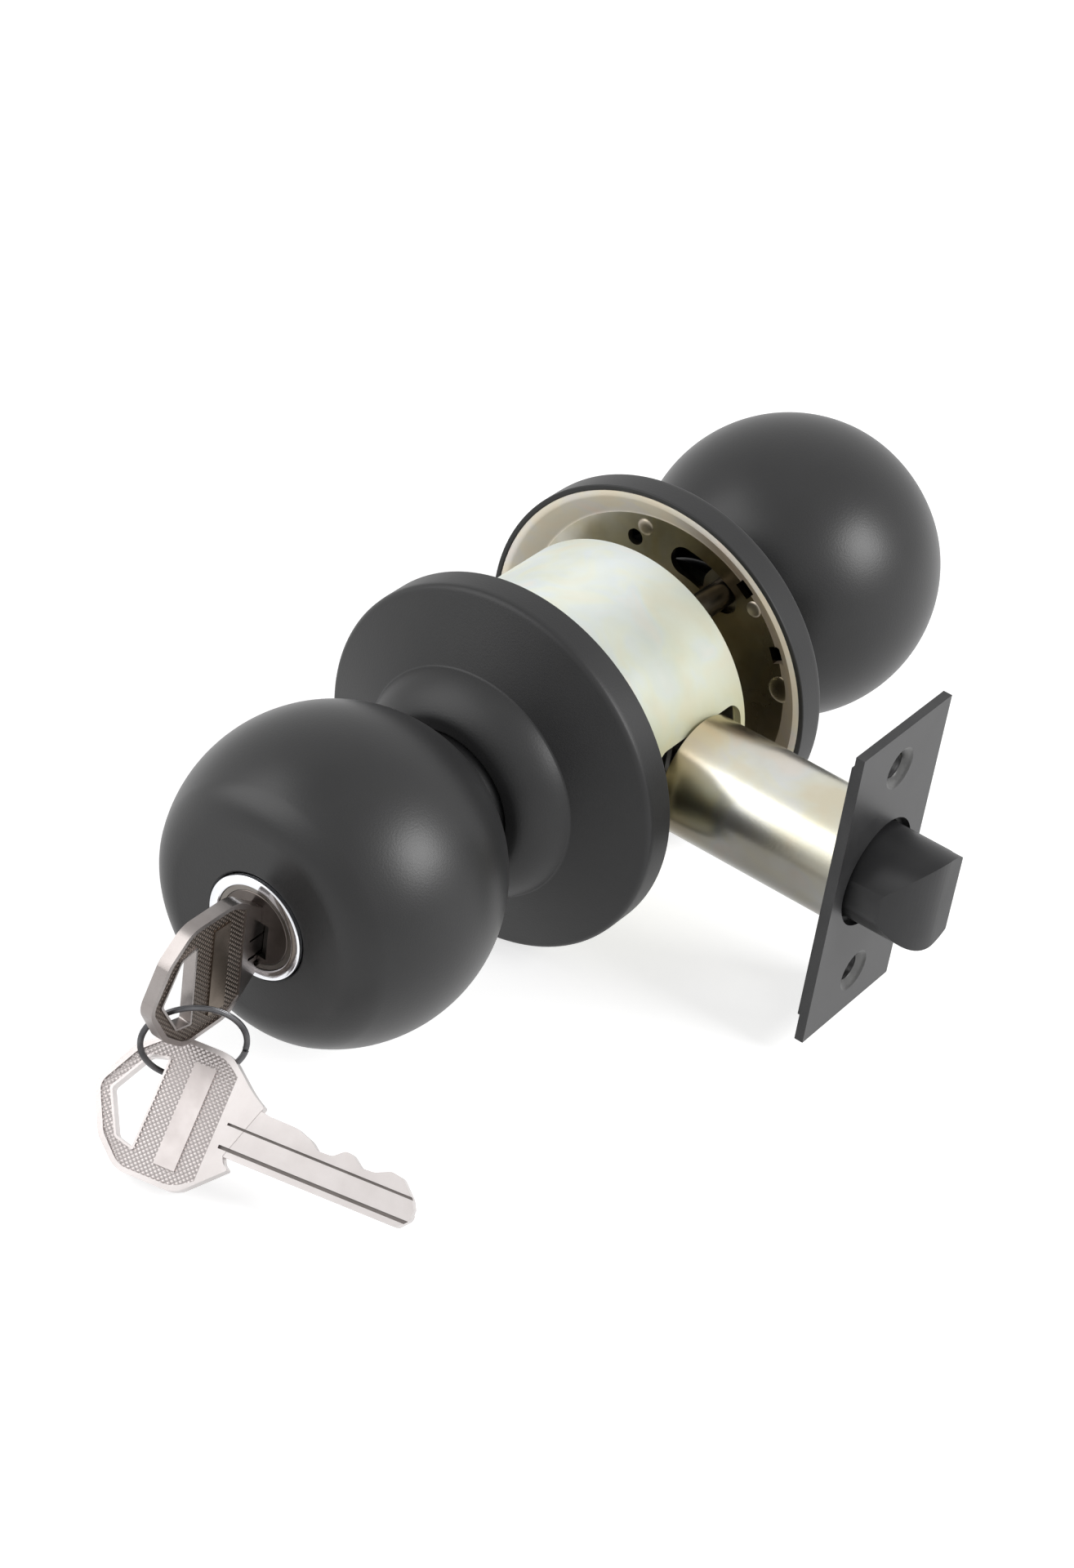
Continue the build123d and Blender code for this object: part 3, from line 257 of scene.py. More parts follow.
def turned(name, profile, axis="Y", steps=160):
    """A piece turned on the lathe from its half section of (station, radius) points in mm."""
    along = Vector((0, 1, 0)) if axis == "Y" else Vector((1, 0, 0))
    across = Vector((1, 0, 0)) if axis == "Y" else Vector((0, 1, 0))
    points = [(along * station + across * radius) * mm for station, radius in profile]
    bpy.ops.mesh.primitive_plane_add(size=mm, calc_uvs=False)
    piece = bpy.context.object
    piece.name = name
    bpy.ops.object.mode_set(mode="EDIT")
    bpy.ops.mesh.merge(type="CENTER")
    bpy.ops.transform.translate(value=points[0])
    for before, after in zip(points, points[1:]):
        bpy.ops.mesh.extrude_vertices_move(TRANSFORM_OT_translate={"value": after - before})
    bpy.ops.mesh.select_all(action="SELECT")
    bpy.ops.mesh.spin(steps=steps, angle=2 * math.pi, center=(0, 0, 0), axis=along)
    bpy.ops.mesh.select_all(action="SELECT")
    bpy.ops.mesh.remove_doubles(threshold=0.002 * mm)
    bpy.ops.mesh.normals_make_consistent(inside=False)
    bpy.ops.object.mode_set(mode="OBJECT")
    return piece


def tube(start, end, outer, inner):
    """The half section of a plain tube."""
    return [(start, outer), (end, outer), (end, inner), (start, inner), (start, outer)]


def block(name, low, high):
    """A rectangular piece between two corners in mm."""
    size = [(b - a) * mm for a, b in zip(low, high)]
    middle = [(a + b) / 2 * mm for a, b in zip(low, high)]
    bpy.ops.mesh.primitive_cube_add(size=1, location=middle, calc_uvs=False)
    piece = bpy.context.object
    piece.name = name
    piece.scale = size
    bpy.ops.object.transform_apply(location=True, rotation=True, scale=True)
    return piece


def rounded_edges(piece, chosen, offset, segments):
    """Rounds the edges of a plain shape that the test picks from their two ends."""
    bpy.context.tool_settings.mesh_select_mode = (False, True, False)
    bpy.ops.object.mode_set(mode="EDIT")
    bpy.ops.mesh.select_all(action="DESELECT")
    bpy.ops.object.mode_set(mode="OBJECT")
    for edge in piece.data.edges:
        edge.select = chosen(*(piece.data.vertices[i].co / mm for i in edge.vertices))
    bpy.ops.object.mode_set(mode="EDIT")
    bpy.ops.mesh.bevel(offset=offset * mm, segments=segments)
    bpy.ops.object.mode_set(mode="OBJECT")
    bpy.context.tool_settings.mesh_select_mode = (True, False, False)


def cut_from(piece, *cutters, keep="DIFFERENCE", solver="MANIFOLD"):
    """Cuts each cutter out of the piece, and throws the cutter away."""
    bpy.ops.object.select_all(action="DESELECT")
    piece.select_set(True)
    bpy.context.view_layer.objects.active = piece
    for cutter in cutters:
        cut = piece.modifiers.new("cut", "BOOLEAN")
        cut.operation = keep
        cut.solver = solver
        cut.object = cutter
        bpy.ops.object.modifier_apply(modifier="cut")
        bpy.data.objects.remove(cutter)


def softened(piece, width, segments=3, over_deg=30):
    """Rounds the piece's sharp edges, as tumbling, plating and paint do."""
    edges = piece.modifiers.new("edges", "BEVEL")
    edges.width = width * mm
    edges.segments = segments
    edges.limit_method = "ANGLE"
    edges.angle_limit = math.radians(over_deg)
    bpy.ops.object.modifier_apply(modifier="edges")


def shaded(piece, smooth_deg):
    """Shades the piece smoothly, with its sharp edges and its broad flat faces kept."""
    bpy.ops.object.shade_smooth_by_angle(angle=math.radians(smooth_deg))
    flat_faces = piece.modifiers.new("flat_faces", "WEIGHTED_NORMAL")
    flat_faces.keep_sharp = True
    bpy.ops.object.modifier_apply(modifier="flat_faces")


def finished(piece, body, slot, *materials, smooth_deg=40):
    """Shades the piece, gives it its finishes and lets it ride on its body."""
    shaded(piece, smooth_deg)
    bpy.ops.object.select_all(action="DESELECT")
    piece.data.materials.clear()
    for material in materials:
        piece.data.materials.append(material)
    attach(piece, body)


def with_finish(material, *nodes):
    """Gives CAD solids whose shape is right their finish."""
    for node in nodes:
        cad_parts[node].data.materials.clear()
        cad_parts[node].data.materials.append(material)


drum_zinc = zinc_plate("drum_zinc", (0.84, 0.86, 0.84), (0.74, 0.76, 0.71), 0.62, 0.7)
# The drum is painted darker towards the latch side and downwards, a painted shade that holds back the soft
# box's highlight; furthest that way it is painted lighter again, a painted highlight with a cream tint.
shade_and_tint_across(drum_zinc, (1, 0, -0.6), -16, 2, (0.60, 0.60, 0.56))
shade_and_tint_across(drum_zinc, (1, 0, -0.6), 8, 20, (1.20, 1.16, 0.98))
drum = turned("drum_tube", tube(drum_near, drum_far, drum_radius, drum_radius - drum_wall))
window = block("window", window_low, window_high)
rounded_edges(window, lambda a, b: abs(a.x - b.x) > 10, window_round, 8)
cut_from(drum, window)
softened(drum, 0.25, 3, 50)
finished(drum, "chassis", "zinc_plate", drum_zinc)
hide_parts("chassis_drum")
hub_zinc = zinc_plate("hub_zinc", (0.74, 0.73, 0.68), (0.66, 0.65, 0.55), 0.32)
with_finish(hub_zinc, "outside_hub", "inside_hub")

# Works inside the drum: a folded guide, the retractor that the spindles' cams push back,
# its two return springs, and the spindles' clips. All are stamped and left bare.
stamped_steel = coated_metal(
    "stamped_steel", (0.56, 0.55, 0.53), (0.46, 0.45, 0.43), 1.0, 0.38, 0.4, 0.12, 10
)
spring_steel = coated_metal(
    "spring_steel", (0.38, 0.37, 0.36), (0.28, 0.27, 0.26), 1.0, 0.3, 0.3, 0.1, 6
)
with_finish(stamped_steel, "retractor_guide", "retractor", "outside_spindle", "inside_spindle")
with_finish(stamped_steel, "outside_shank", "inside_shank", "outside_knob_core", "inside_knob_core")
with_finish(spring_steel, "outside_spindle_clip", "inside_spindle_clip", "retractor_springs")
with_finish(spring_steel, "outside_catch_spring", "inside_catch_spring", "outside_catch", "inside_catch")

# Latch case: a zinc tube rolled from sheet, with two prongs that hook into the drum's
# window and a punched plate behind them that the bolt's tail runs through.
backset = 60.0
plate_thickness = 1.6
case_front = backset - plate_thickness
case_back = 20.2
case_radius = 10.5
case_wall = 0.75
prong_root = 24.2
prong_half_height = 4.0
clear = 12.0

case_zinc = zinc_plate("case_zinc", (0.72, 0.72, 0.70), (0.64, 0.61, 0.53), 0.25)
# The tube's underside is painted dark, a painted shade that stands for the dark reflection there.
shade_and_tint_across(case_zinc, (0, -0.656, -0.755), 1.5, 5.5, (0.34, 0.33, 0.32))
# The tube turns darker and yellower towards the drum.
shade_and_tint_across(case_zinc, (-1, 0, 0), -36, -24, (0.82, 0.72, 0.55))
case = turned("latch_case", tube(case_back, case_front, case_radius, case_radius - case_wall), axis="X")
above = block("above", (case_back - 2.2, -clear, prong_half_height), (prong_root, clear, clear))
below = block("below", (case_back - 2.2, -clear, -clear), (prong_root, clear, -prong_half_height))
cut_from(case, above, below)
softened(case, 0.15, 2, 50)
finished(case, "chassis", "zinc_plate", case_zinc)
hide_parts("latch_tube")
with_finish(case_zinc, "latch_rear_plate")

# Faceplate: a black-painted steel strip with two countersunk screw holes, where the paint
# is worn, and a round mouth for the bolt. A second plate behind it is staked to the case,
# and a plastic ring guides the bolt.
half_width = 12.7
half_height = 28.5
screw_height = 20.65
screw_hole = 2.3
sink_radius = 3.7
sink_depth = 1.17
mouth_radius = 9.7
guide_length = 5.0
guide_radius = 9.74
guide_bore = 8.7


def bar(start, end, radius):
    """The half section of a plain round bar."""
    return [(start, 0), (start, radius), (end, radius), (end, 0)]


face_paint = coated_metal(
    "face_paint", (0.024, 0.024, 0.025), (0.036, 0.036, 0.037), 0.3, 0.38, 0.3, 0.2, 6
)
worn_paint = coated_metal("worn_paint", (0.11, 0.11, 0.108), (0.07, 0.07, 0.069), 0.7, 0.34, 0.3, 0.15, 3)
face_strip = block(
    "faceplate_strip", (case_front, -half_width, -half_height), (backset, half_width, half_height)
)
mouth = turned("mouth", bar(57, 61, mouth_radius), axis="X", steps=96)
cut_from(face_strip, mouth)
for height in (screw_height, -screw_height):
    sink_section = [
        (57, 0),
        (57, screw_hole),
        (backset - sink_depth, screw_hole),
        (backset, sink_radius),
        (backset + 0.5, sink_radius),
        (backset + 0.5, 0),
    ]
    sink = turned("sink", sink_section, axis="X", steps=64)
    sink.location.z = height * mm
    bpy.context.view_layer.update()
    cut_from(face_strip, sink)
softened(face_strip, 0.3, 3, 40)
finished(face_strip, "chassis", "black_enamel", face_paint, worn_paint)
for face in face_strip.data.polygons:
    x, y, z = (value / mm for value in face.center)
    from_screw = math.hypot(y, abs(z) - screw_height)
    if backset - 1.1 < x < backset - 0.1 and from_screw < sink_radius - 0.1:
        face.material_index = 1
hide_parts("latch_faceplate")
with_finish(face_paint, "latch_backing_plate")
guide_plastic = coated_metal(
    "guide_plastic", (0.012, 0.012, 0.012), (0.018, 0.018, 0.018), 0.0, 0.5, 0.3, 0.2, 5
)
guide_section = [
    (case_front - guide_length, guide_radius),
    (case_front, guide_radius),
    (case_front, guide_bore + 0.2),
    (case_front - 0.2, guide_bore),
    (case_front - guide_length, guide_bore),
    (case_front - guide_length, guide_radius),
]
guide_ring = turned("bolt_guide_ring", guide_section, axis="X", steps=96)
finished(guide_ring, "chassis", "black_plastic", guide_plastic)
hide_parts("latch_bolt_guide")

# Bolt: a round die-cast bar with a flat on one side for the plunger, and a nose that is
# curved towards the outside so that the door can push it in. Its tail is a flat steel fork.
bolt_radius = 8.6
bolt_back = 52.5
bolt_tip = 71.98
throw = 12.0
bolt_flat = 4.6
nose_start = 59.0
nose_land = 1.5
nose_middle = (61.839, 1.162)
nose_round = 10.166
nose_from = math.degrees(math.atan2(-bolt_radius - nose_middle[1], nose_start - nose_middle[0]))
nose_to = math.degrees(math.atan2(nose_land - nose_middle[1], backset + throw - nose_middle[0]))
plunger_back = 54.0
plunger_tip = 69.5
plunger_flat = 4.9


def arc(middle, radius, from_deg, to_deg, steps):
    """Points on a circle, where 0 degrees is along the first of the two directions."""
    angles = [from_deg + (to_deg - from_deg) * step / steps for step in range(steps + 1)]
    return [
        (
            middle[0] + radius * math.cos(math.radians(angle)),
            middle[1] + radius * math.sin(math.radians(angle)),
        )
        for angle in angles
    ]


def outlined(name, points, low, high):
    """A plate cut to an outline of (x, y) points in mm, between two heights."""
    bpy.ops.mesh.primitive_plane_add(size=mm, calc_uvs=False)
    piece = bpy.context.object
    piece.name = name
    bpy.ops.object.mode_set(mode="EDIT")
    bpy.ops.mesh.merge(type="CENTER")
    bpy.ops.transform.translate(value=(points[0][0] * mm, points[0][1] * mm, low * mm))
    for before, after in zip(points, [*points[1:], points[0]]):
        step = ((after[0] - before[0]) * mm, (after[1] - before[1]) * mm, 0)
        bpy.ops.mesh.extrude_vertices_move(TRANSFORM_OT_translate={"value": step})
    bpy.ops.mesh.select_all(action="SELECT")
    bpy.ops.mesh.remove_doubles(threshold=0.002 * mm)
    bpy.ops.mesh.edge_face_add()
    bpy.ops.mesh.extrude_region_move(TRANSFORM_OT_translate={"value": (0, 0, (high - low) * mm)})
    bpy.ops.mesh.select_all(action="SELECT")
    bpy.ops.mesh.normals_make_consistent(inside=False)
    bpy.ops.object.mode_set(mode="OBJECT")
    return piece


bolt_paint = coated_metal(
    "bolt_paint", (0.018, 0.018, 0.019), (0.026, 0.026, 0.027), 0.1, 0.42, 0.3, 0.15, 8, specular=0.36
)
bolt = turned("bolt_bar", bar(bolt_back, bolt_tip, bolt_radius), axis="X", steps=128)
flat_side = block("flat_side", (40, bolt_flat, -clear), (80, 20, clear))
nose_curve = arc(nose_middle, nose_round, nose_from, nose_to, 24)
nose_waste = outlined(
    "nose_waste", [*nose_curve, (90, nose_land), (90, -20), (nose_start, -20)], -clear, clear
)
cut_from(bolt, flat_side, nose_waste)
softened(bolt, 1.0, 5, 30)
finished(bolt, "bolt_set", "black_bolt", bolt_paint, smooth_deg=35)
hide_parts("latch_bolt")

plunger = turned("plunger_bar", bar(plunger_back, plunger_tip, bolt_radius), axis="X", steps=128)
cut_from(plunger, block("plunger_waste", (40, -20, -clear), (80, plunger_flat, clear)))
softened(plunger, 0.5, 3, 30)
finished(plunger, "plunger_set", "black_bolt", bolt_paint, smooth_deg=35)
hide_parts("deadlatch_plunger")
with_finish(stamped_steel, "latch_tail", "tail_pin")
with_finish(spring_steel, "bolt_springs", "plunger_spring")

# Mounting plate: a dished zinc plate inside the far rose, which screws to the drum through
# two arc slots. Its rim flares out to the rose's bore, and small holes are punched round
# it, with pressed pips beside them. The floor is a darker zinc, and the cone and the floor
# are painted darker towards the latch side, a painted shade.
dish_floor = 22.0
dish_back = dish_floor + 1.3
hub_hole = 15.3
slot_reach = 20.9
slot_half_width = 2.6
slot_from_deg = 57
slot_to_deg = 83
square_reach = (25.1, 27.9)
square_half_width = 1.5
round_reach = 22.0
round_deg = 110
round_radius = 1.5
dish_section = [
    (dish_floor, hub_hole),
    (dish_floor, 26.4),
    (21.8, 26.9),
    (19.5, 30.0),
    (19.2, 30.5),
    (19.2, 31.36),
    (20.5, 31.36),
    (20.9, 30.7),
    (23.0, 27.9),
    (dish_back, 27.3),
    (dish_back, hub_hole),
    (dish_floor, hub_hole),
]

plate = turned("mounting_dish", dish_section)
slot_start, slot_end = (
    (slot_reach * math.cos(math.radians(deg)), slot_reach * math.sin(math.radians(deg)))
    for deg in (slot_from_deg, slot_to_deg)
)
slot_outline = [
    *arc((0, 0), slot_reach + slot_half_width, slot_from_deg, slot_to_deg, 10),
    *arc(slot_end, slot_half_width, slot_to_deg, slot_to_deg + 180, 10)[1:-1],
    *arc((0, 0), slot_reach - slot_half_width, slot_to_deg, slot_from_deg, 10),
    *arc(slot_start, slot_half_width, slot_from_deg + 180, slot_from_deg + 360, 10)[1:-1],
]
punches = []
for turn in (0, 180):
    shapes = [outlined("slot", slot_outline, -26, -18)]
    for deg in (28, 55):
        square = block(
            "square",
            (square_reach[0], -square_half_width, -26),
            (square_reach[1], square_half_width, -18),
        )
        square.rotation_euler.z = math.radians(deg)
        shapes.append(square)
    bpy.ops.mesh.primitive_cylinder_add(
        vertices=32,
        radius=round_radius * mm,
        depth=8 * mm,
        location=(
            round_reach * math.cos(math.radians(round_deg)) * mm,
            round_reach * math.sin(math.radians(round_deg)) * mm,
            -dish_floor * mm,
        ),
        calc_uvs=False,
    )
    shapes.append(bpy.context.object)
    onto_plate = Matrix.Rotation(math.radians(90), 4, "X") @ Matrix.Rotation(math.radians(turn), 4, "Z")
    for punch in shapes:
        punch.matrix_world = onto_plate @ punch.matrix_basis
        punches.append(punch)
bpy.context.view_layer.update()
cut_from(plate, *punches)
softened(plate, 0.18, 2, 50)
plate_zinc = zinc_plate("plate_zinc", (0.96, 0.88, 0.82), (0.92, 0.84, 0.76), 0.5, 0.3)
cone_zinc = zinc_plate("cone_zinc", (0.96, 0.88, 0.82), (0.92, 0.84, 0.76), 0.5, 0.3)
# The cone is painted darker towards the latch side, a painted shade.
shade_and_tint_across(cone_zinc, (1, 0, 0.1), -2, 13, (0.36, 0.32, 0.27))
floor_zinc = zinc_plate("floor_zinc", (0.62, 0.60, 0.55), (0.36, 0.32, 0.24), 0.28)
# The floor is painted darker still towards the latch side, a painted shade.
shade_and_tint_across(floor_zinc, (1, 0, -0.2), -14, 2, (0.30, 0.26, 0.20))
finished(plate, "chassis", "zinc_plate", plate_zinc, floor_zinc, cone_zinc)
for face in plate.data.polygons:
    reach = math.hypot(face.center.x, face.center.z) / mm
    if reach < 26.6:
        face.material_index = 1
    elif reach < 29.9:
        face.material_index = 2
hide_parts("mounting_plate")

pip_zinc = zinc_plate("pip_zinc", (0.42, 0.37, 0.32), (0.28, 0.24, 0.18), 0.36)
for index, (deg, reach, radius, height, pip_finish) in enumerate(
    ((104, 24.2, 1.5, 0.4, pip_zinc), (47, 25.4, 1.4, 0.3, pip_zinc), (14, 26.0, 2.4, 0.45, floor_zinc))
):
    dome = [
        (
            dish_floor - 0.05 - height * math.cos(math.radians(tilt)),
            radius * math.sin(math.radians(tilt)),
        )
        for tilt in range(0, 90, 15)
    ]
    foot = [(dish_floor + 0.05, radius + 0.1), (dish_floor + 0.3, radius + 0.1), (dish_floor + 0.3, 0)]
    pip = turned(f"pressed_pip_{index}", [*dome, *foot], steps=32)
    pip.location = (
        reach * math.cos(math.radians(deg)) * mm,
        0,
        reach * math.sin(math.radians(deg)) * mm,
    )
    bpy.ops.object.transform_apply(location=True, rotation=True, scale=True)
    finished(pip, "chassis", "zinc_plate", pip_finish)
screw_zinc = coated_metal("screw_zinc", (0.16, 0.14, 0.12), (0.10, 0.09, 0.07), 1.0, 0.3, 0.4, 0.1, 6)
with_finish(screw_zinc, "mounting_screws")
with_finish(hub_zinc, "outside_rose_liner")

# Roses: round pressed-steel covers with an upright rim and a raised hub round the neck.
# The outside is baked satin black with a fine grain, and the rim's edge is rolled.
rose_face = 19.0
rose_radius = 32.38
rose_inner_radius = 31.4
rose_top = 36.38
rose_bore = 12.6
hub_round_middle = (26.56, 9.95)
hub_round = 10.88
rose_outside = [
    (rose_face, rose_radius),
    (23.4, rose_radius),
    *arc((23.7, 31.1), 1.28, 75, 15, 5),
    *arc(hub_round_middle, hub_round, 73.8, 28, 10),
    (rose_top, 14.3),
    (rose_top, rose_bore),
]
rose_inside = [
    (35.4, rose_bore),
    *arc(hub_round_middle, hub_round - 1, 26.5, 72, 8),
    (28.7, 19.9),
    (24.5, 29.6),
    (23.6, rose_inner_radius),
    (rose_face, rose_inner_radius),
]


def on_side(side, *sections):
    """A closed half section for the keyed side (-1) or the other side (1)."""
    points = [point for section in sections for point in section]
    return [(side * station, radius) for station, radius in (*points, points[0])]


black_paint = coated_metal(
    "black_paint", (0.016, 0.016, 0.0165), (0.022, 0.022, 0.0225), 0.0, 0.45, 0.35, 0.22, 14, specular=0.36
)
for side, rose_name, node in (
    (-1, "outside_rose_cover", "outside_rose"),
    (1, "inside_rose_cover", "inside_rose"),
):
    rose = turned(rose_name, on_side(side, rose_outside, rose_inside))
    softened(rose, 0.25, 3, 35)
    finished(rose, "chassis", "black_enamel", black_paint)
    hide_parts(node)

# Knobs: hollow balls spun from steel sheet, with a flat face, a soft edge round it and a
# short neck with a catch hole below. They have the same baked satin black as the roses.
knob_middle = 63.3
knob_radius = 27.1
knob_wall = 1.2
knob_face = 81.7
face_hole = 9.05
edge_round = 8.0
neck_start = 33.2
neck_radius = 12.2
neck_bore = 11.0
catch_hole = (37.9, 1.2)
edge_station = knob_face - edge_round
edge_middle_radius = math.sqrt((knob_radius - edge_round) ** 2 - (edge_station - knob_middle) ** 2)
edge_meets_ball_deg = math.degrees(math.atan2(edge_middle_radius, edge_station - knob_middle))
neck_meets_ball_deg = 180 - math.degrees(math.asin(12.9 / knob_radius))
inner_radius = knob_radius - knob_wall
bore_meets_ball_deg = 180 - math.degrees(math.asin(neck_bore / inner_radius))
knob_outside = [
    (neck_start, neck_radius),
    (37.6, neck_radius),
    (38.3, neck_radius + 0.15),
    *arc((knob_middle, 0), knob_radius, neck_meets_ball_deg, edge_meets_ball_deg, 40),
    *arc((edge_station, edge_middle_radius), edge_round, edge_meets_ball_deg, 0, 14)[1:],
    (knob_face, face_hole + 0.35),
    (knob_face - 0.35, face_hole),
]
knob_inside = [
    (knob_face - knob_wall, face_hole),
    (knob_face - knob_wall, edge_middle_radius),
    *arc((edge_station, edge_middle_radius), edge_round - knob_wall, 0, edge_meets_ball_deg, 8)[1:],
    *arc((knob_middle, 0), inner_radius, edge_meets_ball_deg, bore_meets_ball_deg, 24)[1:],
    (neck_start, neck_bore),
]

knob_paint = coated_metal(
    "knob_paint", (0.015, 0.015, 0.0155), (0.020, 0.020, 0.0205), 0.0, 0.38, 0.35, 0.20, 18, specular=0.4
)
for side, knob_name, node, body in (
    (-1, "outside_knob_ball", "outside_knob", "outside_knob_set"),
    (1, "inside_knob_ball", "inside_knob", "inside_knob_set"),
):
    knob = turned(knob_name, on_side(side, knob_outside, knob_inside))
    bpy.ops.mesh.primitive_cylinder_add(
        vertices=24,
        radius=catch_hole[1] * mm,
        depth=4 * mm,
        location=(0, side * catch_hole[0] * mm, -neck_radius * mm),
        calc_uvs=False,
    )
    cut_from(knob, bpy.context.object, solver="EXACT")
    finished(knob, body, "black_enamel", knob_paint)
    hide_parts(node)

# Lock cylinder: a bright chrome ring in the face of the outside knob, the brass body and
# plug plated dull nickel, and five pairs of brass pins under a cover strip.
ring_bore = 7.26
ring_front = -82.3
ring_back = -79.0
ring_edge = 0.3
plug_front = -82.0
plug_radius = 6.35

bright_chrome = coated_metal("bright_chrome", (0.86, 0.87, 0.90), (0.80, 0.81, 0.84), 1.0, 0.09, 0.4, 0.03, 8)
dull_nickel = coated_metal("dull_nickel", (0.24, 0.225, 0.21), (0.18, 0.165, 0.15), 1.0, 0.3, 0.3, 0.1, 6)
pin_brass = coated_metal("pin_brass", (0.80, 0.62, 0.30), (0.70, 0.52, 0.24), 1.0, 0.25, 0.3, 0.06, 4)
plug_nickel = coated_metal("plug_nickel", (0.115, 0.10, 0.092), (0.085, 0.072, 0.065), 1.0, 0.34, 0.3, 0.1, 5)
keyway_painted_shade = coated_metal("keyway_painted_shade", (0.020, 0.016, 0.013), (0.014, 0.012, 0.010), 0.4, 0.5, 0.3, 0.1, 5)
trim_section = [
    (ring_back, ring_bore),
    (ring_back, 8.95),
    *arc((ring_front + ring_edge, 8.65), ring_edge, 90, 180, 5),
    *arc((ring_front + ring_edge, 7.56), ring_edge, 180, 270, 5),
    (ring_back, ring_bore),
]
trim_ring = turned("trim_ring", trim_section)
finished(trim_ring, "outside_knob_set", "bright_chrome", bright_chrome)
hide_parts("cylinder_trim_ring")
with_finish(dull_nickel, "cylinder_body", "chamber_cover")
plug_section = [
    (-48, 0),
    (-48, 5),
    (-50, 5),
    (-50, plug_radius),
    (plug_front + 0.1, plug_radius),
    (plug_front, plug_radius - 0.1),
    (plug_front, 0),
]
plug = turned("keyed_plug", plug_section, steps=96)
keyway = block("keyway", (-1.1, plug_front - 0.5, -8), (1.1, -52.1, 3.5))
keyway_mouth = block("keyway_mouth", (-2.6, plug_front - 0.5, -4.8), (2.6, plug_front + 1, 1.6))
cut_from(plug, keyway, keyway_mouth)
softened(plug, 0.12, 2, 50)
finished(plug, "cylinder_plug_set", "satin_nickel", plug_nickel, keyway_painted_shade)
# The keyway's inside faces take the near-black finish, a painted shade inside the slot.
for face in plug.data.polygons:
    x, y, z = (value / mm for value in face.center)
    in_keyway = abs(x) < 2.7 and abs(z) < 8.2 and math.hypot(x, z) < 6.2
    if plug_front + 0.05 < y < -51 and in_keyway:
        face.material_index = 1
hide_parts("cylinder_plug")
with_finish(pin_brass, "key_pins", "driver_pins")
with_finish(spring_steel, "pin_springs", "plug_clip", "tailpiece")

# Turn button: a small round button with a raised thumb piece in the face of the inside
# knob, in a black bushing. Its bar runs through the spindles to the drum.
collar_back = 76.1
collar_seat = 77.3
collar_bore = 6.5
stem_bore = 3.5
button_back = 80.0
button_radius = 6.4
button_edge = 0.58
stem_radius = 3.4
tip_radius = 2.22
thumb_reach = 4.4
thumb_half_width = 1.6

collar_section = [
    (collar_back, stem_bore),
    (collar_seat, stem_bore),
    (collar_seat, collar_bore),
    *arc((81.9, 6.9), 0.4, 270, 360, 5),
    *arc((81.7, 8.45), button_edge, 0, 90, 6),
    (collar_back, 9.03),
    (collar_back, stem_bore),
]
collar = turned("button_collar", collar_section, steps=96)
finished(collar, "inside_knob_set", "black_enamel", black_paint)
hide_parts("button_bushing")
button_section = [
    (72.0, 0),
    (72.0, tip_radius),
    (66.0, tip_radius),
    (66.0, stem_radius),
    (button_back, stem_radius),
    (button_back, button_radius),
    *arc((82.0, 5.8), button_edge, 90, 0, 5),
    (82.58, 0),
]
button = turned("thumb_button", button_section, steps=96)
thumb_outline = [
    *arc((thumb_reach, 0), thumb_half_width, -90, 90, 12),
    *arc((-thumb_reach, 0), thumb_half_width, 90, 270, 12),
]
thumb = outlined("thumb", thumb_outline, -89.05, -82.0)
thumb.rotation_euler = (math.radians(90), math.radians(90), 0)
bpy.ops.object.transform_apply(location=True, rotation=True, scale=True)
cut_from(button, thumb, keep="UNION")
softened(button, 0.5, 4, 35)
finished(button, "turn_button_set", "black_enamel", black_paint)
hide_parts("turn_button")
with_finish(stamped_steel, "locking_bar")
with_finish(spring_steel, "button_clip", "button_spring")

# Keys: two alike, stamped from nickel-plated brass. The bow has a window for the ring, a
# smooth border and a plain raised panel on a finely stippled ground. The blade is cut on
# one edge and has two grooves in front and one behind, which are painted dark as a painted
# shade. The inserted key has darker, browner copies of all its finishes, a painted shade.
blank_half = 1.1
blade_half = 1.0
ground_level = 0.8
bow_drop = 1.0
panel_near = -7.1
panel_far = -10.7
panel_half_height = 8.2
blade_floor = -4.4
bow_top = [(-5.8, 11.2), (-16.0, 11.2), (-20.7, 7.2), (-24.0, 0.8)]
field_top = [(-3.6, 8.4), (-6.6, 10.4), (-15.7, 10.4), (-19.9, 6.7), (-23.2, 0.6)]
window_top = [(-14.8, 7.2), (-17.8, 6.4)]
rim_top = [(-14.45, 7.6), (-18.0, 6.75)]
upper_shoulder = [(1.7, 3.6), (2.1, 4.7), (0.0, 5.7)]
lower_shoulder = [(0.6, -6.0), (-0.5, -5.3), (-1.0, -4.3)]
cut_outline = [
    (3.0, 8.2),
    (8.0, 8.1),
    (11.0, 7.1),
    (12.3, 6.1),
    (14.8, 6.2),
    (16.4, 7.6),
    (17.6, 7.6),
    (19.6, 6.2),
    (21.8, 6.3),
    (24.2, 7.4),
    (26.2, 7.1),
    (28.7, 4.8),
    (29.6, 3.2),
    (29.6, 1.8),
    (28.0, 0),
]


def both_edges(top, *points_between):
    """An outline from its upper half, mirrored about the middle of the bow."""
    return [
        *[(x, y - bow_drop) for x, y in top],
        *[(x, y - bow_drop) for x, y in points_between],
        *[(x, -y - bow_drop) for x, y in reversed(top)],
    ]


bow_rim = both_edges(bow_top)
bow_outline = [*upper_shoulder, *bow_rim, *lower_shoulder]
field_outline = both_edges(field_top)
window_outline = both_edges(window_top, (-21.4, 0))
wide_window_outline = both_edges(rim_top, (-21.85, 0))
blade_outline = [
    (-4.4, blade_floor),
    (-4.4, -blade_floor),
    (2.4, 3.95),
    *[(reach, blade_floor + height) for reach, height in cut_outline],
]


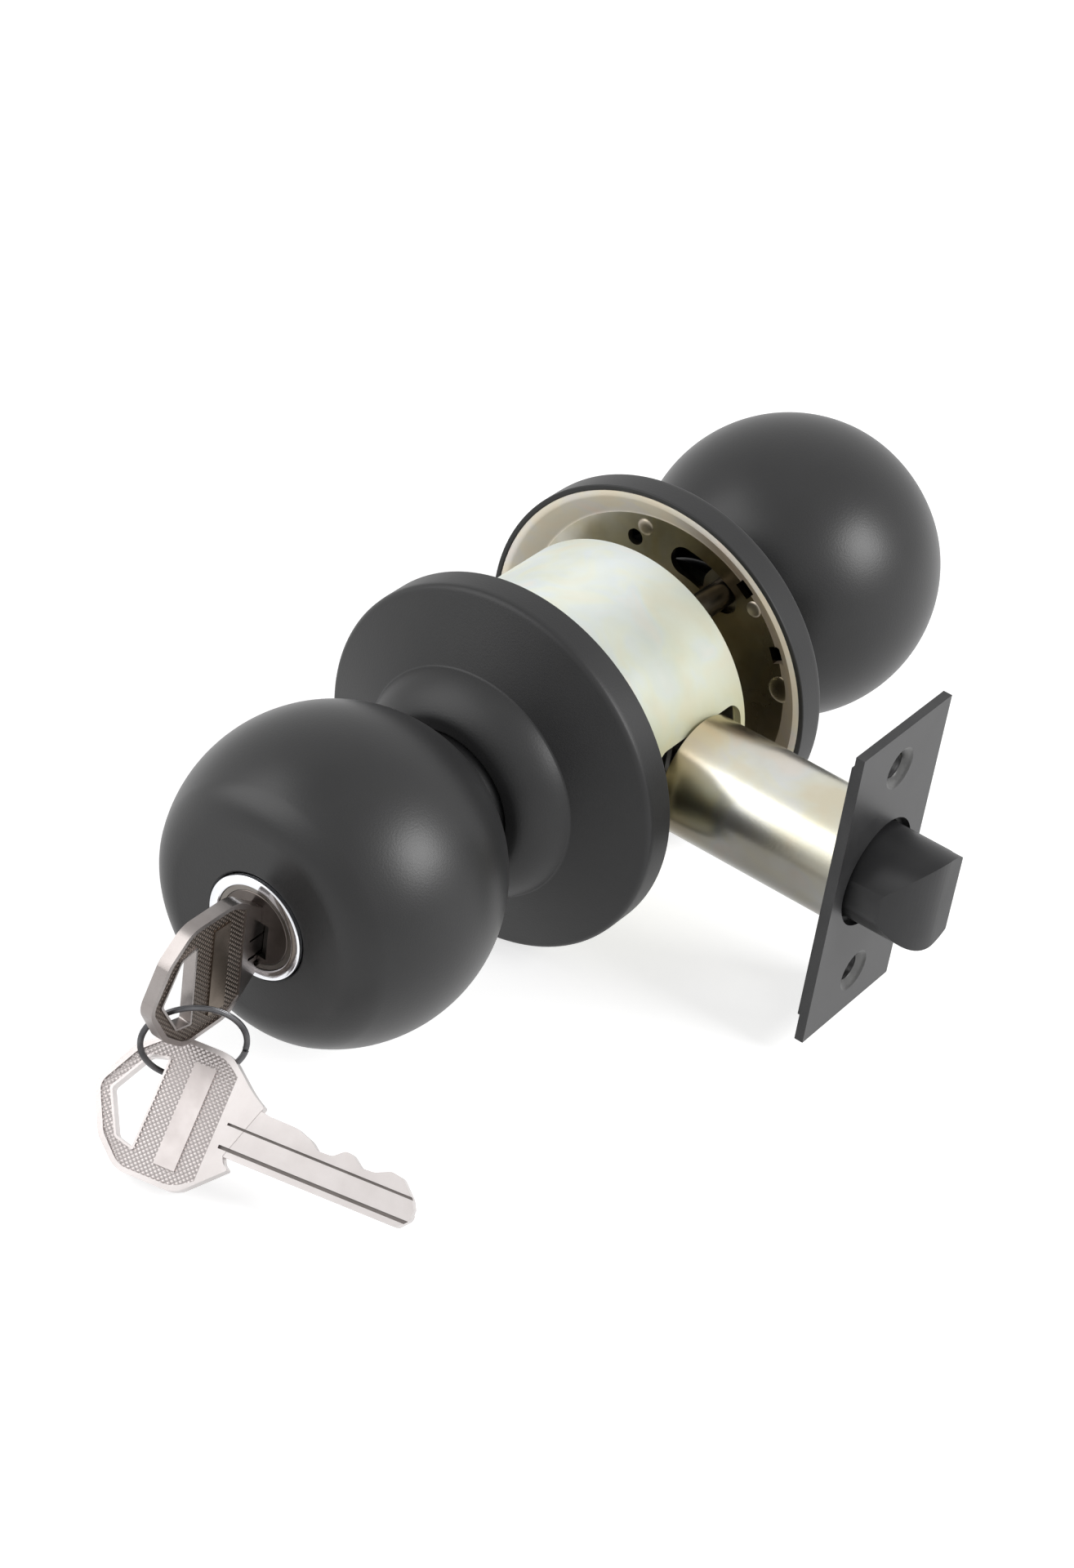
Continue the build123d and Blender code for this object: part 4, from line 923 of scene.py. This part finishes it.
def stippled(name, colour, other_colour, pit_colour):
    """Nickel punched with fine crossed rows, which read the key's own flat map."""
    material = coated_metal(name, colour, other_colour, 1.0, 0.34, 0.25, 0.12, 7)
    nodes, links = material.node_tree.nodes, material.node_tree.links
    shader = nodes["Principled BSDF"]
    rows = []
    for turn in (45, -45):
        turned_map = nodes.new("ShaderNodeMapping")
        turned_map.inputs["Rotation"].default_value[2] = math.radians(turn)
        links.new(nodes["Texture Coordinate"].outputs["UV"], turned_map.inputs["Vector"])
        wave = nodes.new("ShaderNodeTexWave")
        wave.wave_type = "BANDS"
        wave.bands_direction = "X"
        wave.inputs["Scale"].default_value = 0.52
        links.new(turned_map.outputs["Vector"], wave.inputs["Vector"])
        rows.append(wave.outputs["Fac"])
    studs = nodes.new("ShaderNodeMath")
    studs.operation = "MULTIPLY"
    links.new(rows[0], studs.inputs[0])
    links.new(rows[1], studs.inputs[1])
    punched = nodes.new("ShaderNodeBump")
    punched.inputs["Strength"].default_value = 1.0
    punched.inputs["Distance"].default_value = 0.12 * mm
    links.new(studs.outputs[0], punched.inputs["Height"])
    links.new(nodes["Bump"].outputs["Normal"], punched.inputs["Normal"])
    links.new(punched.outputs["Normal"], shader.inputs["Normal"])
    pit_level = nodes.new("ShaderNodeMapRange")
    pit_level.inputs["From Max"].default_value = 0.4
    links.new(studs.outputs[0], pit_level.inputs["Value"])
    pitted = nodes.new("ShaderNodeMix")
    pitted.data_type = "RGBA"
    pitted.inputs["A"].default_value = (*pit_colour, 1)
    links.new(nodes["Mix"].outputs["Result"], pitted.inputs["B"])
    links.new(pit_level.outputs["Result"], pitted.inputs["Factor"])
    links.new(pitted.outputs["Result"], shader.inputs["Base Color"])
    return material


hanging_finishes = (
    coated_metal("key_nickel", (0.60, 0.565, 0.555), (0.53, 0.495, 0.485), 1.0, 0.30, 0.25, 0.12, 7),
    stippled("stippled_nickel", (0.60, 0.56, 0.55), (0.52, 0.48, 0.47), (0.27, 0.245, 0.24)),
    coated_metal("groove_shade_nickel", (0.17, 0.152, 0.145), (0.13, 0.117, 0.11), 1.0, 0.4, 0.25, 0.12, 7),
    coated_metal("panel_nickel", (0.56, 0.52, 0.51), (0.46, 0.42, 0.41), 1.0, 0.50, 0.25, 0.12, 5),
)
# The inserted key's finishes are darker, browner copies of the hanging key's, a painted shade over the whole
# key.
inserted_shaded_finishes = (
    coated_metal("shaded_nickel", (0.34, 0.315, 0.305), (0.28, 0.255, 0.245), 1.0, 0.30, 0.25, 0.12, 7),
    stippled("shaded_stipple", (0.22, 0.185, 0.16), (0.17, 0.14, 0.12), (0.07, 0.055, 0.045)),
    coated_metal("shaded_groove", (0.08, 0.065, 0.055), (0.06, 0.05, 0.04), 1.0, 0.4, 0.25, 0.12, 7),
    coated_metal("shaded_panel_nickel", (0.19, 0.155, 0.125), (0.14, 0.112, 0.088), 1.0, 0.32, 0.25, 0.12, 5),
)


def rounded(piece, corners, offset, segments=4):
    """Rounds the upright edges of a plate at the given corners in mm."""
    rounded_edges(
        piece,
        lambda a, b: abs(a.z - b.z) > 0.1 and any(math.hypot(a.x - x, a.y - y) < 0.02 for x, y in corners),
        offset,
        segments,
    )


def placed(origin, along, facing):
    """A place in mm from its origin, the way its X runs and the way that it faces."""
    facing = Vector(facing).normalized()
    along = Vector(along)
    along = (along - facing * along.dot(facing)).normalized()
    place = Matrix((along, facing.cross(along), facing)).transposed().to_4x4()
    place.translation = origin
    return place


ring_radius = 8.0
ring_hold = (-16.7, -5.0, 0)
spare_hold = (-16.9, 4.2, 0)
spare_turn = math.radians(-65.6)
key_place = placed((0, -82.1, -1.2), (0, 1, 0), (1, 0, 0))
ring_place = placed(key_place @ Vector(ring_hold), (0.178, 0.344, -0.922), (0.6785, -0.7214, -0.1386))
ring_place.translation = ring_place @ Vector((ring_radius, 0, 0))
spare_on_ring = ring_place @ (ring_radius * Vector((math.cos(spare_turn), math.sin(spare_turn), 0)))
spare_place = placed((0, 0, 0), (0.9759, 0.2179, 0.0114), (0.1408, -0.6691, 0.7297))
spare_place.translation = spare_on_ring - spare_place @ Vector(spare_hold)

for key_name, node, body, place, finishes in (
    ("inserted_key", "key", "key_set", key_place, inserted_shaded_finishes),
    ("hanging_key", "spare_key", "spare_key_set", spare_place, hanging_finishes),
):
    blank = outlined(key_name, bow_outline, -blank_half, blank_half)
    rounded(blank, bow_rim[2:6], 0.75, 6)
    rounded(blank, (upper_shoulder[2], *bow_rim[:2], *bow_rim[6:]), 1.6, 6)
    rounded(blank, (upper_shoulder[1], *lower_shoulder[:2]), 0.4, 5)
    blade = outlined("blade", blade_outline, -blade_half, blade_half)
    rounded(blade, blade_outline[2:], 0.4, 5)
    cut_from(blank, blade, keep="UNION")
    opening = outlined("opening", window_outline, -2, 2)
    rounded(opening, window_outline, 0.35)
    cut_from(blank, opening)
    for low, high in ((ground_level, 1.6), (-1.6, -ground_level)):
        ground = outlined("ground", field_outline, low, high)
        rounded(ground, field_outline[3:-3], 0.55, 6)
        rounded(ground, (*field_outline[1:3], *field_outline[-3:-1]), 1.4, 6)
        kept_rim = outlined("kept_rim", wide_window_outline, low - 1, high + 1)
        rounded(kept_rim, wide_window_outline, 0.35)
        kept_panel = block(
            "kept_panel",
            (panel_far, -panel_half_height - bow_drop, low - 1),
            (panel_near, panel_half_height - bow_drop, high + 1),
        )
        cut_from(ground, kept_rim, kept_panel)
        cut_from(blank, ground)
    for height, half, low, high in ((1.2, 0.28, 0.5, 2), (4.8, 0.2, 0.5, 2), (3.0, 0.35, -2, -0.5)):
        middle = blade_floor + height
        cut_from(blank, block("groove", (-2.2, middle - half, low), (32, middle + half, high)))
    softened(blank, 0.12, 2, 40)
    flat_map = blank.data.uv_layers.new(name="flat_map")
    for loop in blank.data.loops:
        spot = blank.data.vertices[loop.vertex_index].co
        flat_map.data[loop.index].uv = (spot.x / mm, spot.y / mm)
    blank.data.materials.clear()
    for material in finishes:
        blank.data.materials.append(material)
    for face in blank.data.polygons:
        x, y, z = (value / mm for value in face.center)
        in_groove = x > -2.3 and abs(y) < 4.0 and 0.45 < abs(z) < 0.95
        if abs(abs(z) - ground_level) < 0.02 and x < -4.3:
            face.material_index = 1
        if abs(z) > 0.85 and panel_far - 0.1 < x < panel_near + 0.1 and abs(y + bow_drop) < 8.4:
            face.material_index = 3
        # Groove walls and floors take the darker groove finish, a painted shade.
        if in_groove and (abs(face.normal.y) > 0.5 or abs(z) < 0.55):
            face.material_index = 2
    shaded(blank, 35)
    blank.matrix_world = Matrix.Translation(place.translation * mm) @ place.to_3x3().to_4x4()
    bpy.ops.object.transform_apply(location=True, rotation=True, scale=True)
    bpy.ops.object.select_all(action="DESELECT")
    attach(blank, body)
    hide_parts(node)

# Key ring: two close turns of dark flattened wire, coiled with a small pitch and sprung
# together, so that both bows can be threaded on.
wire_half_width = 0.48
wire_half_height = 0.245
ring_pitch = 0.5
wire_turns = 2

dark_wire = coated_metal("dark_wire", (0.15, 0.15, 0.155), (0.08, 0.08, 0.085), 1.0, 0.3, 0.3, 0.1, 4)
bpy.ops.mesh.primitive_circle_add(
    vertices=20,
    radius=mm,
    location=(ring_radius * mm, 0, -ring_pitch / 2 * mm),
    rotation=(math.pi / 2, 0, 0),
    calc_uvs=False,
)
split_ring = bpy.context.object
split_ring.name = "split_ring"
split_ring.scale = (wire_half_width, wire_half_height, 1)
bpy.ops.object.transform_apply(location=True, rotation=True, scale=True)
coil = split_ring.modifiers.new("coil", "SCREW")
coil.axis = "Z"
coil.angle = wire_turns * 2 * math.pi
coil.screw_offset = ring_pitch * mm
coil.steps = 240
coil.render_steps = 240
bpy.ops.object.modifier_apply(modifier="coil")
bpy.ops.object.mode_set(mode="EDIT")
bpy.ops.mesh.select_all(action="DESELECT")
bpy.ops.mesh.select_non_manifold()
bpy.ops.mesh.edge_face_add()
bpy.ops.mesh.select_all(action="SELECT")
bpy.ops.mesh.normals_make_consistent(inside=False)
bpy.ops.object.mode_set(mode="OBJECT")
split_ring.matrix_world = (
    Matrix.Translation(ring_place.translation * mm)
    @ ring_place.to_3x3().to_4x4()
    @ Matrix.Rotation(math.radians(60), 4, "Z")
)
bpy.ops.object.transform_apply(location=True, rotation=True, scale=True)
finished(split_ring, "key_ring_set", "dark_wire", dark_wire)
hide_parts("key_ring")

low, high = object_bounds()
